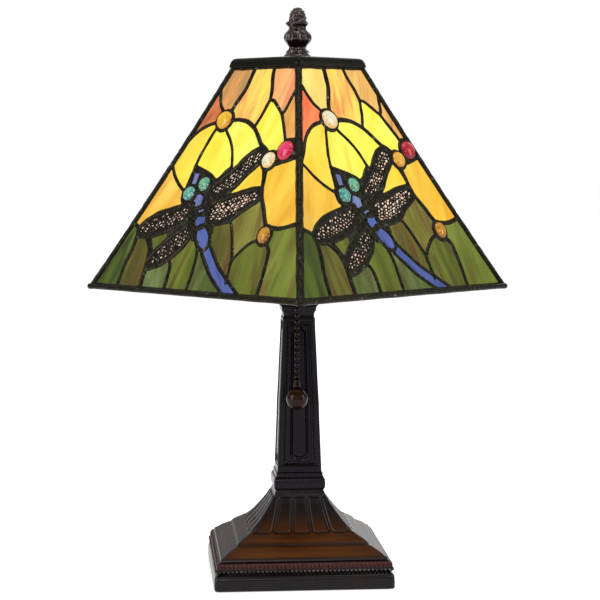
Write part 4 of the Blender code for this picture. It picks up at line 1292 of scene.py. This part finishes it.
def add_solid_casting(name, material, node, outline, *shape):
    points, faces, push, *_ = casting(outline, *shape)
    faces += end_faces(len(outline), len(points) // len(outline))
    # painted shade mask: darker the deeper a point is sunk
    build = Mesher().add(points, faces, hollow=np.clip(-push / 1.4, 0, 1))
    build.piece(name, material, "stand", (node,), "bronze_dark")


def add_column(material):
    """The column, with closer rings at both ends of its panels, and the mouldings under and over it."""
    zs = np.concatenate([np.linspace(*run) for run in COLUMN_RUNS])
    halves, heights = np.array(COLUMN).T
    outline = np.stack((np.interp(zs, heights, halves), zs), 1)
    add_solid_casting("column_relief", material, "column_casting", outline, 96, 1.1, column_detail)
    for name, outline in (("collar", COLLAR), ("capital", CAPITAL)):
        outline = straight_line(outline, 0.45)
        add_solid_casting(f"{name}_moulding", material, f"column_{name}", outline, 26, 1.0, plain)


def add_cap(material):
    """The square cap over the shade's top: a lipped edge, a rounded shoulder and a raised middle."""
    build = Mesher().add(*casting(straight_line(CAP, 0.6), 30, 1.6, plain)[:2])
    build.piece("cap_casting", material, "shade", ("vase_cap",), "bronze_green", SHADE_TURN)


# ---------------------------------------------------------------- finial

FINIAL = (
    (9.6, 351.1), (9.4, 351.7), (8.7, 352.5), (7.5, 353.6), (6.4, 355.0), (5.8, 356.4), (5.8, 357.4),
    (6.4, 358.5), (7.6, 360.2), (8.6, 362.0), (8.9, 363.9), (8.6, 365.7), (7.7, 367.4), (6.5, 368.9),
    (5.9, 370.0), (5.9, 371.0), (6.8, 372.2), (7.5, 373.4), (6.9, 374.3), (5.9, 375.0), (5.9, 376.2),
    (5.6, 378.4), (5.0, 380.4), (3.9, 382.2), (2.4, 383.5), (0.8, 384.1),
)
FINIAL_STEPS, FINIAL_RUNS = 84, ((351.1, 383.6, 110), (383.7, 384.1, 4))
BORE, BORE_Z, BORE_STEPS = 3.3, (351.1, 356.0, 361.0, 366.0), 20
BASE, BASE_Z = 8.6, 351.15
SCALES_LOW, SCALES_HIGH, SCALE_ROW = 374.5, 383.5, 2.2


def sector(angle, count, shift=0.0):
    """How far each angle lies from the middle of its equal part of the round, from -1 to 1."""
    return np.mod(angle * count / TAU + shift, 1.0) * 2 - 1


def finial_push(z, angle):
    """Cast leaves and scales: six leaves round the bulge, pointed tips above, scales on the cone."""
    leaf = np.abs(sector(angle, 6, 0.25))
    swell = arch(z, 358.2, 369.0)
    push = swell**0.7 * (0.55 - 1.5 * leaf**2.5 - 0.7 * np.exp(-((leaf / 0.12) ** 2)))
    push += 0.2 * np.cos(angle * 24) * swell + 0.25 * np.cos(angle * 8) * arch(z, 352.5, 358.2)
    push += 1.5 * arch(z, 370.4, 375.0) * (0.6 - np.abs(sector(angle, 5)))
    push += 1.1 * mound(sector(angle, 8, 0.31) / 0.45, (z - 354.7) / 1.3)
    if SCALES_LOW < z < SCALES_HIGH:
        row, down = divmod((z - SCALES_LOW) / SCALE_ROW, 1.0)
        push += 0.75 * (1 - sector(angle, 7, 0.5 * (row % 2)) ** 2) * (1 - down) - 0.3
    return push


def add_finial(material):
    zs = np.concatenate([np.linspace(*run) for run in FINIAL_RUNS])
    radii, heights = smooth_line(FINIAL, step=0.3).T
    pushes = [finial_push(z, round_angles(FINIAL_STEPS)) for z in zs]
    rows = [
        ring(radius + push * min(1.0, radius / 3), z, FINIAL_STEPS)
        for z, radius, push in zip(zs, np.interp(zs, heights, radii), pushes)
    ]
    faces = grid_faces(len(rows), FINIAL_STEPS, wrap=True) + end_faces(len(rows), FINIAL_STEPS)[1:]
    # painted glints as well as wear: the further a point stands out, the lighter
    worn = np.clip(np.concatenate(pushes) / 0.7, 0, 1) ** 2
    build = Mesher().add(rows, faces, worn=worn)
    bore = [ring(BORE, z, BORE_STEPS) for z in BORE_Z]
    build.add(bore, grid_faces(len(bore), BORE_STEPS, wrap=True), worn=0.0)
    base = [ring(radius, BASE_Z, FINIAL_STEPS) for radius in (BORE, BASE)]
    build.add(base, grid_faces(2, FINIAL_STEPS, wrap=True), worn=0.0)
    build.piece("finial_casting", material, "finial", ("finial",), "bronze_dark")


# ---------------------------------------------------------------- chain and pad

CHAIN_TURN, CHAIN_REACH = -5.7, 28.2
CHAIN_BEAD, BEAD_PITCH, WIRE = 1.52, 4.1, 0.42
BEAD_TALL = 1.06 * CHAIN_BEAD
BEAD_SLOPES = [math.pi * k / 10 for k in range(1, 10)]
# Each length of chain: its name, body and CAD node, its beads' heights, and the rod that joins it on
CHAIN = (
    ("chain_end_beads", "chain_end", "chain_end", (216.0, 211.9), ((0, 1.9, 216.0), (0, 0.9, 216.0), 0.5)),
    ("chain_swivel_bead", "chain_swivel", "chain_swivel", (207.8,), ((0, 0, 208.9), (0, 0, 210.6), WIRE)),
    (
        "chain_beads", "hanging_chain", "pull_chain",
        [203.7 - BEAD_PITCH * k for k in range(17)], ((0, 0, 204.9), (0, 0, 206.6), WIRE),
    ),
)
BALL_Z, BALL_RADIUS, BALL_STEPS = 123.1, 7.3, 24
LINE_STEP, LINE_DEEP = 9, 0.12  # the fine line cut round the ball
PAD_HALF, PAD_STEPS = 56.4, 40


def hung(points, faces):
    """A shape on the upright axis, moved out to the chain's line."""
    return points - (0, CHAIN_REACH, 0), faces


def add_chain(brass, wood):
    """Beads on a thin wire, the bell-shaped coupling under them, and the turned ball."""
    for name, body, node, beads, rod in CHAIN:
        build = Mesher()
        for z in beads:
            sides = [(CHAIN_BEAD * math.sin(slope), z - BEAD_TALL * math.cos(slope)) for slope in BEAD_SLOPES]
            build.add(*hung(*lathe([(0, z - BEAD_TALL), *sides, (0, z + BEAD_TALL)], 16)))
        inset = CHAIN_BEAD * 0.8
        wires = [((0, 0, low + inset), (0, 0, high - inset), WIRE) for high, low in zip(beads, beads[1:])]
        for start, end, radius in [*wires, rod]:
            build.add(*hung(*tube((start, end), radius, 8)))
        build.piece(name, brass, body, (node,), "brass", CHAIN_TURN)
    low, high = (corner[2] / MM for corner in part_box("chain_coupling"))
    bell = [(1.0, low), (2.2, low + 0.2), (2.5, low + 0.8), (2.4, low + 1.8)]
    bell += [(2.0, high - 1.2), (1.9, high - 0.4), (1.3, high)]
    coupling = Mesher().add(*hung(*lathe(bell, 24)))
    coupling.piece("chain_coupling_bell", brass, "hanging_chain", ("chain_coupling",), "brass", CHAIN_TURN)
    knob = Mesher().add(*hung(*lathe(ball_outline(), 40)))
    knob.piece("pull_knob", wood, "hanging_chain", ("pull_ball",), "dark_wood", CHAIN_TURN)


def ball_outline():
    """A turned ball, with a fine line cut round it and flats at both ends."""
    slopes = np.pi * (0.06 + 0.88 * np.arange(BALL_STEPS + 1) / BALL_STEPS)
    radii = BALL_RADIUS * np.sin(slopes)
    radii[LINE_STEP] -= LINE_DEEP
    return zip(radii, BALL_Z - BALL_RADIUS * np.cos(slopes))


def add_pad(material):
    """A felt sheet under the foot, with soft cut edges, a little fuller between its glue spots."""
    across = np.linspace(-1, 1, PAD_STEPS) * PAD_HALF
    x, y = np.meshgrid(across, across)
    edge = np.exp(-np.minimum(PAD_HALF - np.abs(x), PAD_HALF - np.abs(y)) / 0.8)
    top = 1.1 - 0.25 * edge + 0.03 * ripple(x, y, 14, 3)
    foot = 0.05 + 0.12 * edge + 0.05 * (1 + ripple(x, y, 11, 4)) / 2
    points = [np.stack((x, y, z), -1).reshape(-1, 3) for z in (top, foot)]
    build = Mesher().add(points, sheet_faces(grid_faces(PAD_STEPS, PAD_STEPS), PAD_STEPS**2))
    pad = build.piece("felt_sheet", material, "stand", ("felt_pad",), "felt")


# ---------------------------------------------------------------- carried-over parts

# The CAD nodes that stay, by their finish
FINISHES = {
    "cap": ("top_ring",),
    "iron": ("ballast_plate",),
    "steel": ("bottom_washer", "threaded_pipe"),
    "nickel": ("bulb_cap",),
    "ceramic": ("bulb_stem",),
    "bulb": ("bulb_glass",),
    "fibre": ("insulating_sleeve",),
    "plastic": ("socket_interior", "switch_lever", "cord_bushing"),
    "brass": (
        "bottom_nut", "lock_nut", "socket_cap", "socket_shell", "screw_shell", "centre_contact",
        "harp_saddle", "harp_loop", "harp_sleeve_left", "harp_sleeve_right", "harp_stud", "chain_guide",
    ),
}


def dress(materials):
    """Each CAD node that stays gets its finish."""
    for kind, nodes in FINISHES.items():
        for node in (bpy.data.objects[name] for name in nodes):
            for slot in node.material_slots:
                slot.material = materials[kind]
            if not node.material_slots:
                node.data.materials.append(materials[kind])


def add_shade(lead):
    """The four panels: leads, glass, lace on the wings, and jewels."""
    glass, jewel = art_glass(), jewel_glass()
    ridges = [wing_ridge(outline) for _, outline in WINGS]
    lines = cartoon(ridges) + [(width, smooth_line(points), False) for width, points in BLOBS]
    cuts = [(0.0, np.array(points, float), False) for points in CUTS]
    for index in range(len(SIDES)):
        add_leads(index, lines, lead)
        add_glass(index, lines + cuts, glass)
        add_lace(index, ridges, lead)
        add_jewels(index, jewel)
    add_hips(lead)
    add_rim(lead)


def main():
    add_camera()
    add_floor()
    add_world()
    add_lights()
    black = bronze("bronze_dark", (28, 25, 31), (38, 29, 28), 0.26, 0.3, metal=0.92)
    cap = bronze("bronze_green", (26, 26, 22), (48, 44, 34), 0.30, 0.4)
    dark_brass = metal("chain_brass", (36, 31, 27), 0.16, stain=(14, 11, 10), stained=0.8)
    dress({
        "cap": cap,
        "brass": metal("brass", (214, 170, 96), 0.22),
        "nickel": metal("nickel", (196, 190, 180), 0.2),
        "steel": metal("steel", (150, 150, 152), 0.3),
        "iron": dull("iron", (52, 48, 46), (74, 64, 58), 0.6, 90.0, 0.0005, 0.8),
        "ceramic": dull("ceramic", (225, 222, 214), (236, 233, 226), 0.35, 120.0, 0.0001),
        "fibre": dull("fibre", (86, 60, 44), (112, 82, 60), 0.8, 260.0, 0.0003),
        "plastic": dull("black_plastic", (22, 22, 23), (30, 30, 31), 0.45, 300.0, 0.0001),
        "bulb": lit_bulb(),
    })
    add_shade(solder())
    add_cap(cap)
    add_foot(foot_bronze())
    add_column(black)
    add_finial(bronze("finial_bronze", (38, 24, 24), (66, 54, 52), 0.16, 0.4, 160.0, metal=0.8, worn=0.6))
    add_chain(dark_brass, lacquered_wood())
    add_pad(felt())


main()
